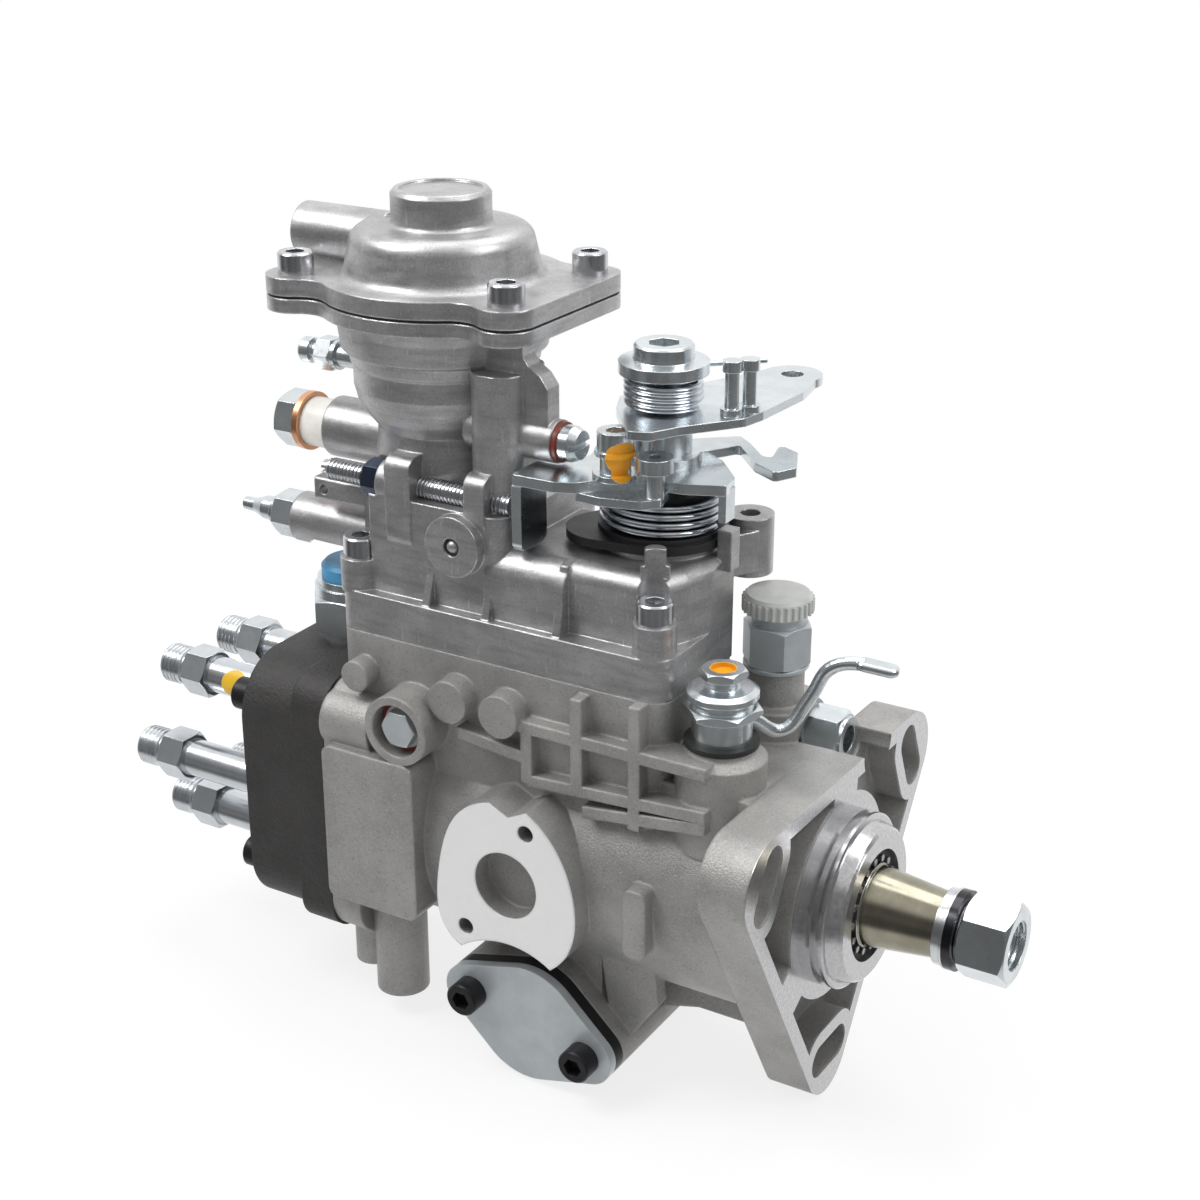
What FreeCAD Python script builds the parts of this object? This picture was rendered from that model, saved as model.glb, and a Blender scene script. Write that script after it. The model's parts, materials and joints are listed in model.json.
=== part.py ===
"""Rotary distributor diesel injection pump with a boost compensator.

Frame: +X runs along the drive shaft towards the drive end, +Z is up and the
origin is where the shaft axis meets the front face of the mounting flange.
All sizes are in millimetres.
"""
import FreeCAD, Part
import math
import os

V = FreeCAD.Vector

# Mounting flange and pilot
FLANGE_T = 14.0
EAR_R = 13.0
SLOT_PCD_R = 51.0
FAR_SLOT_PCD_R = 53.0
FAR_EAR_ANGLE = 25.0
LEFT_EAR_ANGLE = 151.0
LOW_EAR_ANGLE = 269.0
SLOT_W = 10.0
SLOT_L = 22.0
WINDOW_RIM = 4.5
WINDOW_WEB = 15.0
WINDOW_DEPTH = 9.0
HUB_RING_R = 29.8
PILOT_D = 50.0
PILOT_L = 7.0
PILOT_NOSE_R = 22.0
PILOT_NOSE_L = 4.3
PILOT_GROOVE_W = 2.4
PILOT_GROOVE_DEPTH = 2.0
PILOT_GROOVE_BACK = 1.4
SEAL_BORE_R = 16.0
SEAL_DEPTH = 8.0

# Pump housing
BARREL_R = 37.0
BARREL_BORE_R = 33.0
HEAD_JOINT_X = -148.0
JOINT_Z = 60.0
COVER_BACK_X = -147.0
COVER_FRONT_X = -39.5
COVER_HALF_W = 30.0
COVER_CUT_Y = 9.0
COVER_CUT_X = -60.0
CORNER_R = 6.0
DECK_Z = 45.0
DECK_HALF_W = 33.0
CHAMBER_WALL = 5.5
CAVITY_FRONT_X = -27.0
INLET_AT = (-27.1, -20.0)
INLET_SEAT_Z = 48.7
OVERFLOW_SEAT_Z = 55.4
OVERFLOW_BOSS_R = 8.2
INLET_SEAT_R = 9.8
INLET_BAND_R = 8.2
INLET_HEX_AF = 19.0
INLET_HEAD_Z = 62.3
INLET_NECK_R = 4.5
SEAL_RING_T = 1.5
OVERFLOW_AT = (-31.0, 20.0)
PORT_BOSS_R = 12.5
PORT_BOSS_L = 26.0
PORT_BORE_R = 6.0
PORT_BORE_L = 14.0
BODY_SIDE_Y = -34.0
RIB_T = 3.5
FRAME_T = 10.0
HEAD_HALF_W = 38.0
HEAD_TOP_Z = 43.0
HEAD_LOW_Z = -40.0
HEAD_CORNER_R = 12.0

# Side pad with a blind recess and two threaded holes
PAD_FACE_Y = -44.0
PAD_X = -81.4
PAD_RECESS_R = 10.2
PAD_RECESS_DEPTH = 7.0
PAD_HOLE_R = 2.5
PAD_HOLE_DEPTH = 12.0
PAD_HOLE_UP = (6.9, 18.3)
PAD_HOLE_DOWN = (-13.8, -17.2)

# Timing device, across the bottom of the housing
TIMING_X = -76.5
TIMING_Z = -45.0
TIMING_FACE_Y = 34.5
TIMING_BORE_R = 11.0
TIMING_PISTON_CLEARANCE = 0.03
TIMING_PISTON_L = 44.0
TIMING_COVER_R = 18.0
TIMING_EAR_R = 8.0
TIMING_EAR_REACH = 20.5
TIMING_TILT = -14.0
TIMING_SPACER_T = 4.0
TIMING_PLATE_T = 3.0

# Distributor head and delivery valve holders
HEAD_LAYER_T = 12.0
HEAD_L = 31.0
HEAD_END_CORNER_R = 18.0
HOLDER_COUNT = 6
HOLDER_PCD_R = 27.0
HOLDER_L = 50.0
HOLDER_THREAD_R = 6.0
HOLDER_THREAD_L = 8.0
HOLDER_NECK_R = 5.2
HOLDER_NECK_L = 2.2
HOLDER_HEX_AF = 14.0
HOLDER_HEX_L = 9.2
HOLDER_BARREL_R = 5.8
HOLDER_PORT_R = 1.6
HOLDER_CONE_R = 3.6
HEAD_PLUG_AF = 17.0
HEAD_PLUG_L = 7.0
HEAD_SPIGOT_L = 10.0
PLUNGER_R = 5.0
PLUNGER_CLEARANCE = 0.03

# M6 cap screws
M6_R = 3.0
M6_HEAD_R = 5.0
M6_HEAD_L = 6.0
M6_SOCKET_AF = 5.0
M6_SOCKET_DEPTH = 3.0

# Governor cover with the lower half of the boost chamber
BAND_H = 12.0
COVER_SCREW_Y = 24.0
COVER_SCREW_FRONT_X = -45.7
COVER_SCREW_BACK_X = -142.0
COVER_SCREW_FAR_X = -66.0
SCREW_BOSS_TOP_Z = 81.0
SCREW_BOSS_R = 6.0
PLATEAU_Z = 92.0
COVER_EAR_AT = (-42.7, 24.5)
ROUND_POST_AT = (-48.5, -19.0)
TOWER_Z = 101.0
TOWER_FRONT_X = -92.0
TOWER_HALF_W = 26.0
HUMP_HALF_W = 22.0
SHOULDER_FRONT_X = -72.5
SHOULDER_HALF_W = 27.0

# Boost compensator
BOOST_X = -127.5
BOOST_SCREW_X = 34.8
BOOST_SCREW_Y = 21.1
BOOST_EAR_R = 8.5
BOOST_DISC_R = 34.5
BOOST_HOLLOW_R = 9.0
BOOST_JOINT_Z = 154.4
BOOST_LAYER_T = 5.3
BOOST_LOWER_T = 4.4
DIAPHRAGM_T = 0.8
BOOST_PORT_X = -176.0
BOOST_PORT_Y = 2.0
BOOST_PORT_Z = 166.0
BOOST_PORT_BOSS_R = 8.1
BOOST_PORT_R = 4.0
DOME_H = 13.6
DOME_CROWN_R = 23.3
CAP_NECK_R = 14.0
CAP_BASE_Z = 174.3
BOOST_PIN_R = 4.0
BOOST_PIN_CLEARANCE = 0.03

# Throttle lever group
LEVER_X = -60.0
LEVER_Y = 5.0
LEVER_SHAFT_R = 5.0
LEVER_BORE_CLEARANCE = 0.04
LEVER_T = 3.0
HOOK_T = 2.6
HUB_R = 8.0
PAD_RISE = 2.0
CUP_R = 17.6
CUP_RIM_R = 18.6
CUP_FLOOR_T = 3.0
CUP_RIM_T = 2.4
CUP_TOP_Z = 98.0
STOP_LEVER_Z = 112.0
LOWER_PLATE_Z = STOP_LEVER_Z - 2.4
UPPER_LEVER_Z = 128.0
UPPER_LEVER_T = 2.4
LEVER_EYE_R = 3.2
LEVER_EYE = (-43.6, 50.3)
LEVER_EYE_BOSS_R = 8.6
UPPER_LEVER_OUTLINE = (
    (-75.0, 7.6), (-70.0, -3.0), (-57.3, -19.5), (-51.5, -17.5), (-47.5, -9.5), (-36.0, 6.0),
    (-34.5, 14.0), (-33.2, 36.0), (-36.0, 52.0), (-50.8, 54.5), (-55.5, 42.0), (-66.0, 20.0))
LEVER_SCREW_AT = (-64.0, -13.5)
EYE_AT = (-51.6, -14.2)
EYE_POST_L = 7.0
PIN_A = (-40.5, 7.0)
PIN_B = (-38.0, 12.5)
COIL_STEPS = 16
COIL_TURNS = 4
RETURN_COIL_R = 16.2
RETURN_WIRE_R = 0.8
SPRING_DRUM_R = 14.5
SMALL_COIL_R = 9.6
SMALL_WIRE_R = 0.75
CAP_TOP_Z = 148.0
SHAFT_TOP_Z = 142.5

# Fittings
NIPPLE_X = -178.5
NIPPLE_Y = 0.0
NIPPLE_Z = 130.6
PIVOT_BOLT_Y = 0.0
PIVOT_BOLT_Z = 108.8
PIVOT_WASHER_X = -177.8
PIVOT_SEAT_X = -166.4
WASHER_T = 2.0
FULL_LOAD_Y = -5.0
FULL_LOAD_Z = 80.0
FULL_LOAD_SEAT_X = -177.6
STOP_SCREW_Y = -20.0
STOP_SCREW_Z = 103.5
STOP_SCREW_R = 2.95
LUG_BACK_X = -134.5
SOLENOID_X = -164.0
SOLENOID_Y = 0.0
SOLENOID_TOP_Z = 62.4
PLUG_X = -77.6
PLUG_Y = -12.0
PLUG_Z = 121.4
PLUG_BOSS_R = PLUG_Z - STOP_LEVER_Z - LEVER_T - 0.4
OUTLET_X = -9.0
OUTLET_Y = 23.0
OUTLET_Z = 36.0
INSPECTION_X = -119.5
INSPECTION_Z = 37.5
INSPECTION_FACE_Y = -COVER_HALF_W - 11.5
INSPECTION_FLOOR_Y = -COVER_HALF_W - 5.0
CAP_RIBS = 30
OVERFLOW_HEX_Z = OVERFLOW_SEAT_Z + 1.0
OVERFLOW_HEX_L = 12.2
OVERFLOW_CAP_Z = OVERFLOW_HEX_Z + OVERFLOW_HEX_L + 3.0
KNURL_R = 0.62
CAP_R = 9.6
PIPE_R = 1.9
PIPE_POINTS = (
    (-24.6, -14.6, 53.8), (-22.6, -10.0, 52.6), (-21.0, -6.5, 49.4), (-19.0, -3.4, 47.2), (-16.6, -0.8, 47.9),
    (-13.6, 1.5, 53.3), (-10.7, 3.0, 59.3), (-8.5, 4.0, 64.2), (-5.5, 5.0, 66.6), (-1.9, 6.0, 67.5), (1.5, 6.8, 67.6))
PIPE_TIP_L = 9.5
PIPE_STEPS = 30

# Drive shaft
SHAFT_R = 12.0
SHAFT_CLEARANCE = 0.03
SHAFT_BACK_X = -60.0
TONGUE_L = 12.0
TONGUE_T = 8.0
TAPER_BACK_X = 11.5
TAPER_L = 20.3
TAPER_R0 = 11.5
TAPER_R1 = 9.2
NUT_FRONT_X = 52.2
NUT_L = 13.6
NUT_AF = 21.0
NUT_THREAD_R = 7.0
NUT_TURN = 14.5
BUSH_R = 14.5
SEAL_BACK_X = 3.3

# Feed pump
FEED_W = 15.0
FEED_ROTOR_R = 21.0
FEED_RING_R = 24.0

# Cam plate, plunger and roller ring
CAM_R = 22.0
CAM_LIFT = 2.2
CAM_GAP = 0.3
LOBE_PHASE = 0.5
PLUNGER_END_X = -162.0
RING_BACK_X = -82.0
RING_W = 14.0
RING_CLEARANCE = 0.05
RING_FLAT_Z = 22.0
ROLLER_R = 3.6
LOBE_R = 3.2
TIMING_BALL_R = 3.6

# Governor
GEAR_MODULE = 1.0
GEAR_TEETH = 50
GOV_TEETH = 34
GOV_Z = GEAR_MODULE * (GEAR_TEETH + GOV_TEETH) / 2.0
GEAR_X = -55.0
GEAR_W = 8.0
GOV_ROD_R = 4.0
GOV_ROD_END_X = -100.0
GOV_ROD_FRONT_X = -42.0
CAGE_R = 16.8
CAGE_END_X = -87.0
PIVOT_X = -63.5
PIVOT_R = 12.5
SLEEVE_NOSE_X = -106.0
LEVER_PIVOT_X = -110.0
LEVER_PIVOT_Z = 25.0


def unit(axis):
    """Direction of a named axis."""
    return {"x": V(1, 0, 0), "y": V(0, 1, 0), "z": V(0, 0, 1)}[axis]


def place(axis, along, across):
    """Point at a distance along an axis, with its two other coordinates."""
    if axis == "x":
        return V(along, across[0], across[1])
    if axis == "y":
        return V(across[0], along, across[1])
    return V(across[0], across[1], along)


def bar(axis, radius, low, high, across=(0, 0)):
    """Round bar between two places on an axis."""
    return Part.makeCylinder(radius, high - low, place(axis, low, across), unit(axis))


def tube(axis, outer, inner, low, high, across=(0, 0)):
    """Round tube between two places on an axis."""
    return bar(axis, outer, low, high, across).cut(bar(axis, inner, low - 1, high + 1, across))


def cone(axis, radius_low, radius_high, low, high, across=(0, 0)):
    """Cone frustum between two places on an axis."""
    return Part.makeCone(radius_low, radius_high, high - low, place(axis, low, across), unit(axis))


def box(x0, x1, y0, y1, z0, z1):
    """Box from its six sides."""
    return Part.makeBox(x1 - x0, y1 - y0, z1 - z0, V(x0, y0, z0))


def turned(axis, profile, across=(0, 0)):
    """Solid of revolution from (place along the axis, radius) points."""
    points = [(profile[0][0], 0.0)] + list(profile) + [(profile[-1][0], 0.0)]
    side = "z" if axis == "x" else "x"
    start = place(axis, 0, across)
    corners = [start + unit(axis) * along + unit(side) * radius for along, radius in points]
    clean = [corners[0]]
    for corner in corners[1:]:
        if corner.distanceToPoint(clean[-1]) > 1e-6:
            clean.append(corner)
    face = Part.Face(Part.makePolygon(clean + [clean[0]]))
    return face.revolve(start, unit(axis), 360)


def slab(axis, low, high, points):
    """Straight-sided plate from its outline in the plane across an axis."""
    corners = [place(axis, low, point) for point in points]
    face = Part.Face(Part.makePolygon(corners + [corners[0]]))
    return face.extrude(unit(axis) * (high - low))


def hex_bar(axis, across_flats, low, high, across=(0, 0), turn=0.0):
    """Hexagonal bar by its width across flats."""
    reach = across_flats / math.sqrt(3.0)
    points = []
    for step in range(6):
        angle = math.radians(60 * step + turn)
        points.append((across[0] + reach * math.cos(angle), across[1] + reach * math.sin(angle)))
    return slab(axis, low, high, points)


def hex_nut(axis, across_flats, low, high, across=(0, 0), turn=0.0):
    """Hexagon with the corners of both ends turned off."""
    blank = hex_bar(axis, across_flats, low, high, across, turn)
    reach = across_flats / math.sqrt(3.0)
    flat = across_flats / 2.0 * 0.98
    drop = (reach - flat) * 0.55
    trim = turned(axis, [(low, flat), (low + drop, reach), (high - drop, reach), (high, flat)], across)
    return blank.common(trim)


def join(first, *others):
    """One solid from shapes that touch or overlap."""
    return first.multiFuse(list(others)).removeSplitter()


def hull_of_discs(axis, low, high, discs):
    """Plate bounded by the outer tangents of discs, given in turning order as (a, b, radius)."""
    shapes = []
    count = len(discs)
    corners = []
    for index in range(count):
        a0, b0, r0 = discs[index]
        a1, b1, r1 = discs[(index + 1) % count]
        shapes.append(bar(axis, r0, low, high, (a0, b0)))
        reach = math.hypot(a1 - a0, b1 - b0)
        heading = math.atan2(b1 - b0, a1 - a0)
        lean = math.acos(max(-1.0, min(1.0, (r0 - r1) / reach)))
        normal = heading - lean
        corners.append((a0 + r0 * math.cos(normal), b0 + r0 * math.sin(normal)))
        corners.append((a1 + r1 * math.cos(normal), b1 + r1 * math.sin(normal)))
    return join(slab(axis, low, high, corners), *shapes)


def round_corners(solid, radius, direction):
    """Fillet the edges of a solid that run along a direction."""
    edges = []
    for edge in solid.Edges:
        if edge.Curve.TypeId != "Part::GeomLine":
            continue
        run = edge.Vertexes[-1].Point - edge.Vertexes[0].Point
        if abs(abs(run.normalize().dot(direction)) - 1.0) < 1e-6:
            edges.append(edge)
    return solid.makeFillet(radius, edges)


def rounded_plate(axis, low, high, outline, radius):
    """Plate whose corners are rounded."""
    return round_corners(slab(axis, low, high, outline), radius, unit(axis))


def polar(radius, degrees):
    """Point on a circle about the origin."""
    return (radius * math.cos(math.radians(degrees)), radius * math.sin(math.radians(degrees)))


def cap_screw(axis, seat, tip, across):
    """M6 cap screw: its head stands on the seat and its shank ends at the tip."""
    out = 1.0 if seat > tip else -1.0
    top = seat + out * M6_HEAD_L
    socket_floor = top - out * M6_SOCKET_DEPTH
    head = bar(axis, M6_HEAD_R, min(seat, top), max(seat, top), across)
    rim = [edge for edge in head.Edges
           if edge.Curve.TypeId == "Part::GeomCircle"
           and abs(edge.Curve.Center.dot(unit(axis)) - top) < 1e-6]
    head = head.makeChamfer(0.5, rim)
    socket = hex_bar(axis, M6_SOCKET_AF, min(socket_floor, top), max(socket_floor, top), across)
    shank = bar(axis, M6_R, min(seat, tip), max(seat, tip), across)
    return join(head.cut(socket), shank)


def group(shapes):
    """Separate solids kept together in one sub-part."""
    return Part.Compound(list(shapes))


EARS = (
    (FAR_EAR_ANGLE, FAR_SLOT_PCD_R),
    (LEFT_EAR_ANGLE, SLOT_PCD_R),
    (LOW_EAR_ANGLE, SLOT_PCD_R),
)


def ear_slot(angle, radius, low, high, grow=0.0):
    """Slot along the bolt circle, about one ear's centre."""
    centre = V(0, *polar(radius, angle))
    along = V(0, *polar(1.0, angle + 90.0))
    half_run = (SLOT_L - SLOT_W) / 2.0
    ends = [centre + along * half_run, centre - along * half_run]
    side = V(0, *polar(SLOT_W / 2.0 + grow, angle))
    shapes = [bar("x", SLOT_W / 2.0 + grow, low, high, (end.y, end.z)) for end in ends]
    corners = [ends[0] + side, ends[1] + side, ends[1] - side, ends[0] - side]
    shapes.append(slab("x", low, high, [(corner.y, corner.z) for corner in corners]))
    return join(*shapes)


def flange():
    """Triangular flange with slotted ears, lightening windows and the pilot."""
    discs = [polar(radius, angle) + (EAR_R,) for angle, radius in EARS]
    plate = hull_of_discs("x", -FLANGE_T, 0.0, discs)
    inner = [polar(radius, angle) + (EAR_R - WINDOW_RIM,) for angle, radius in EARS]
    field = hull_of_discs("x", -WINDOW_DEPTH, 1.0, inner)
    keep = [bar("x", HUB_RING_R, -FLANGE_T, 2.0)]
    for index, (angle, radius) in enumerate(EARS):
        keep.append(ear_slot(angle, radius, -FLANGE_T, 2.0, WINDOW_RIM))
        a = discs[index]
        b = discs[(index + 1) % len(discs)]
        middle = math.degrees(math.atan2(a[1] + b[1], a[0] + b[0]))
        web = box(-FLANGE_T, 2.0, 0.0, SLOT_PCD_R, -WINDOW_WEB / 2.0, WINDOW_WEB / 2.0)
        web.rotate(V(0, 0, 0), V(1, 0, 0), middle)
        keep.append(web)
    windows = field.cut(keep)
    plate = plate.cut([windows] + [ear_slot(angle, radius, -FLANGE_T - 1, 1) for angle, radius in EARS])
    return plate


def pilot():
    """Round spigot before the flange, with a seal groove and the seal bore."""
    radius = PILOT_D / 2.0
    groove_end = PILOT_L - PILOT_GROOVE_BACK
    groove_start = groove_end - PILOT_GROOVE_W
    nose_end = PILOT_L + PILOT_NOSE_L
    return turned("x", [
        (-FLANGE_T, HUB_RING_R),
        (0.0, HUB_RING_R),
        (0.0, radius),
        (groove_start, radius),
        (groove_start, radius - PILOT_GROOVE_DEPTH),
        (groove_end, radius - PILOT_GROOVE_DEPTH),
        (groove_end, radius),
        (PILOT_L - 0.4, radius),
        (PILOT_L, radius - 0.6),
        (PILOT_L, PILOT_NOSE_R + 1.2),
        (nose_end - 0.8, PILOT_NOSE_R),
        (nose_end, PILOT_NOSE_R - 0.8),
    ])


def cover_outline(inset=0.0):
    """Plan outline that the housing top and the cover share."""
    cut = inset * 0.6
    return [
        (COVER_BACK_X + inset, -COVER_HALF_W + inset),
        (COVER_FRONT_X - inset, -COVER_HALF_W + inset),
        (COVER_FRONT_X - inset, COVER_CUT_Y - cut),
        (COVER_CUT_X - cut, COVER_HALF_W - inset),
        (COVER_BACK_X + inset, COVER_HALF_W - inset),
    ]


def round_rims(solid, radius, height, rim_r):
    """Fillet the circular edges of an upright solid that have a height and a radius."""
    rims = [edge for edge in solid.Edges
            if edge.Curve.TypeId == "Part::GeomCircle"
            and abs(edge.Curve.Center.z - height) < 1e-6 and abs(edge.Curve.Radius - rim_r) < 1e-6]
    return solid.makeFillet(radius, rims)


def head_outline():
    """Outline of the joint between the housing and the head."""
    return [
        (-HEAD_HALF_W, HEAD_LOW_Z),
        (HEAD_HALF_W, HEAD_LOW_Z),
        (HEAD_HALF_W, HEAD_TOP_Z),
        (-HEAD_HALF_W, HEAD_TOP_Z),
    ]


def timing_outline(low, high, grow=0.0):
    """Lens-shaped outline of the timing device covers, extruded along Y."""
    tilt = math.radians(TIMING_TILT)
    reach_x = TIMING_EAR_REACH * math.cos(tilt)
    reach_z = TIMING_EAR_REACH * math.sin(tilt)
    return hull_of_discs("y", low, high, [
        (TIMING_X - reach_x, TIMING_Z - reach_z, TIMING_EAR_R + grow),
        (TIMING_X, TIMING_Z, TIMING_COVER_R + grow),
        (TIMING_X + reach_x, TIMING_Z + reach_z, TIMING_EAR_R + grow),
        (TIMING_X, TIMING_Z, TIMING_COVER_R + grow - 0.01),
    ])


def timing_screw_places():
    """Centres of the two cover screws in the XZ plane."""
    reach = polar(TIMING_EAR_REACH - 1.0, TIMING_TILT)
    return [(TIMING_X + reach[0], TIMING_Z + reach[1]), (TIMING_X - reach[0], TIMING_Z - reach[1])]


def side_pad():
    """Machined pad on the side, with a notch on top and a hollow below."""
    x = PAD_X
    points = [
        V(x - 5.0, PAD_FACE_Y, 25.0), V(x - 15.0, PAD_FACE_Y, 19.5), V(x - 22.5, PAD_FACE_Y, 0.5),
        V(x - 20.5, PAD_FACE_Y, -20.0), V(x - 15.5, PAD_FACE_Y, -24.0),
    ]
    left = Part.BSplineCurve()
    left.interpolate(points)
    right = Part.BSplineCurve()
    right.interpolate([
        V(x + 14.5, PAD_FACE_Y, -22.5), V(x + 21.0, PAD_FACE_Y, -14.0), V(x + 22.0, PAD_FACE_Y, 3.0),
        V(x + 16.0, PAD_FACE_Y, 17.0), V(x + 7.0, PAD_FACE_Y, 25.0),
    ])
    hollow = Part.Arc(points[-1], V(x - 1.0, PAD_FACE_Y, -18.5), V(x + 14.5, PAD_FACE_Y, -22.5))
    notch = [V(x + 7.0, PAD_FACE_Y, 25.0), V(x + 1.0, PAD_FACE_Y, 22.0), V(x - 5.0, PAD_FACE_Y, 25.0)]
    wire = Part.Wire([
        left.toShape(), hollow.toShape(), right.toShape(),
        Part.makeLine(notch[0], notch[1]), Part.makeLine(notch[1], notch[2]),
    ])
    return Part.Face(wire).extrude(V(0, 22.0, 0))


def side_ribs():
    """Stiffening ribs on the side wall behind the flange."""
    top = BODY_SIDE_Y - 0.6
    half = RIB_T / 2.0
    ribs = []
    for x0, z0, x1, z1 in ((-88.0, 45.6, -24.0, 45.6), (-80.0, 29.5, -24.0, 33.0), (-62.0, 24.6, -24.0, 29.6),
                           (-103.0, 38.6, -80.0, 36.2)):
        ribs.append(slab("y", top, -24.0, [(x0, z0 - half), (x1, z1 - half), (x1, z1 + half), (x0, z0 + half)]))
    for x0, z0, z1 in ((-63.9, 29.6, 58.0), (-45.8, 23.4, JOINT_Z), (-80.0, 28.6, 46.0)):
        ribs.append(box(x0 - half, x0 + half, top, -24.0, z0, z1))
    return ribs


def pump_housing():
    """Cast housing with its flange, bores, pads, bosses and ribs."""
    barrel = bar("x", BARREL_R, HEAD_JOINT_X, -FLANGE_T + 1)
    top = rounded_plate("z", 0.0, JOINT_Z, cover_outline(), CORNER_R)
    deck = slab("x", COVER_FRONT_X - 4.0, -FLANGE_T + 1, [
        (-DECK_HALF_W + 5.0, 0.0), (DECK_HALF_W - 5.0, 0.0), (DECK_HALF_W - 5.0, DECK_Z - 10.5),
        (DECK_HALF_W - 13.0, DECK_Z - 9.0), (-DECK_HALF_W + 5.0, DECK_Z - 8.0)])
    frame = rounded_plate("x", HEAD_JOINT_X, HEAD_JOINT_X + FRAME_T, head_outline(), HEAD_CORNER_R)
    block = round_corners(box(-146.0, -114.0, -42.0, -20.0, -23.0, 27.0), 3.0, V(0, 1, 0))
    lower_boss = bar("z", 8.0, -57.0, -20.0, (-131.0, -27.0))
    small_boss = bar("z", 6.0, -51.0, -20.0, (-141.9, -26.0))
    timing = timing_outline(-TIMING_FACE_Y, TIMING_FACE_Y)
    timing_neck = box(TIMING_X - 19.0, TIMING_X + 17.0, -28.0, 28.0, TIMING_Z, -20.0)
    keel = slab("y", -9.0, 9.0, [
        (TIMING_X + 10.0, -30.0), (-FLANGE_T, -30.0), (-FLANGE_T, -44.7), (-38.0, -44.7),
        (TIMING_X + 16.0, TIMING_Z - 6.0)])
    web = slab("y", -29.0, -24.0, [
        (TIMING_X + 17.0, -20.0), (-42.0, -20.0), (-TIMING_FACE_Y - 6.0, -34.0), (TIMING_X + 22.0, -54.0)])
    inspection_at = (INSPECTION_X, INSPECTION_Z)
    bolt_boss = bar("y", 10.5, INSPECTION_FACE_Y, -20.0, inspection_at)
    side_bosses = [bar("y", 6.3, BODY_SIDE_Y - 2.5, -24.0, place2) for place2 in ((-105.0, 48.0), (-88.0, 47.6))]
    corner_boss = bar("y", 4.6, BODY_SIDE_Y - 2.0, -24.0, (-137.3, 48.2))
    lug = bar("x", 9.0, HEAD_JOINT_X, HEAD_JOINT_X + 17.0, (-31.0, 32.0))
    bar_boss = round_corners(box(-45.0, -38.0, -41.5, -20.0, -12.0, 9.0), 2.4, V(0, 1, 0))
    port_bosses = [bar("z", PORT_BOSS_R, DECK_Z - PORT_BOSS_L, DECK_Z, at)
                   for at in (INLET_AT, OVERFLOW_AT)]
    port_bosses.append(cone("z", PORT_BOSS_R, INLET_SEAT_R, DECK_Z, INLET_SEAT_Z - 1.5, INLET_AT))
    port_bosses.append(bar("z", INLET_SEAT_R, DECK_Z, INLET_SEAT_Z, INLET_AT))
    port_bosses.append(bar("z", OVERFLOW_BOSS_R, DECK_Z - 1, OVERFLOW_SEAT_Z, OVERFLOW_AT))
    outlet_boss = bar("x", 9.0, -34.0, -15.5, (24.0, 33.0))
    body = join(
        barrel, top, deck, frame, block, lower_boss, small_boss, timing, timing_neck, keel, web,
        bolt_boss, corner_boss, lug, bar_boss, outlet_boss, side_pad(), *side_bosses, *port_bosses,
        *side_ribs())
    body = join(body, flange(), pilot())
    wall = CHAMBER_WALL
    chamber = rounded_plate("z", 0.0, JOINT_Z + 1, [
        (COVER_BACK_X + wall + 3, -COVER_HALF_W + wall),
        (COVER_FRONT_X - wall, -COVER_HALF_W + wall),
        (COVER_FRONT_X - wall, COVER_CUT_Y - wall),
        (COVER_CUT_X - wall, COVER_HALF_W - wall),
        (COVER_BACK_X + wall + 3, COVER_HALF_W - wall),
    ], 4.0)
    cuts = [
        bar("x", BARREL_BORE_R, HEAD_JOINT_X - 1, CAVITY_FRONT_X),
        chamber,
        bar("x", SHAFT_R + SHAFT_CLEARANCE + 2.5, CAVITY_FRONT_X - 1, PILOT_L + PILOT_NOSE_L + 1),
        bar("x", SEAL_BORE_R, PILOT_L + PILOT_NOSE_L - SEAL_DEPTH, PILOT_L + PILOT_NOSE_L + 1),
        bar("y", TIMING_BORE_R, -TIMING_FACE_Y - 1, TIMING_FACE_Y + 1, (TIMING_X, TIMING_Z)),
        box(TIMING_X - 5.0, TIMING_X + 5.0, -9.0, 9.0, TIMING_Z, -25.0),
        bar("y", PAD_RECESS_R, PAD_FACE_Y - 1, PAD_FACE_Y + PAD_RECESS_DEPTH, (PAD_X, 0.3)),
        bar("y", 8.0, INSPECTION_FACE_Y - 1, INSPECTION_FLOOR_Y, inspection_at),
    ]
    for hole in (PAD_HOLE_UP, PAD_HOLE_DOWN):
        cuts.append(bar("y", PAD_HOLE_R, PAD_FACE_Y - 1, PAD_FACE_Y + PAD_HOLE_DEPTH,
                        (PAD_X + hole[0], 0.3 + hole[1])))
    for at in (INLET_AT, OVERFLOW_AT):
        cuts.append(bar("z", PORT_BORE_R, DECK_Z - PORT_BORE_L, OVERFLOW_SEAT_Z + 1, at))
    for xy in cover_screw_places():
        cuts.append(bar("z", M6_R, JOINT_Z - 8.0, JOINT_Z + 1, xy))
    for xz in timing_screw_places():
        for side in (-1, 1):
            ends = sorted((side * (TIMING_FACE_Y - 8.0), side * (TIMING_FACE_Y + 1)))
            cuts.append(bar("y", M6_R, ends[0], ends[1], xz))
    for yz in head_screw_places():
        cuts.append(bar("x", M6_R, HEAD_JOINT_X - 1, HEAD_JOINT_X + 6.0, yz))
    cuts.append(bar("y", 3.05, -26.8, 26.8, (LEVER_PIVOT_X, LEVER_PIVOT_Z)))
    cuts.append(bar("x", CAGE_R + 5.0, -90.0, GEAR_X + GEAR_W + 0.5, (0.0, GOV_Z)).common(
        box(-90.0, -45.0, -24.5, 24.5, 20.0, JOINT_Z + 1)))
    cuts.append(bar("x", GOV_ROD_R, -50.0, GOV_ROD_FRONT_X, (0.0, GOV_Z)))
    cuts.append(bar("x", 9.3, OUTLET_X - 13.5, 0.0, (OUTLET_Y, OUTLET_Z)))
    return body.cut(cuts)


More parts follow.
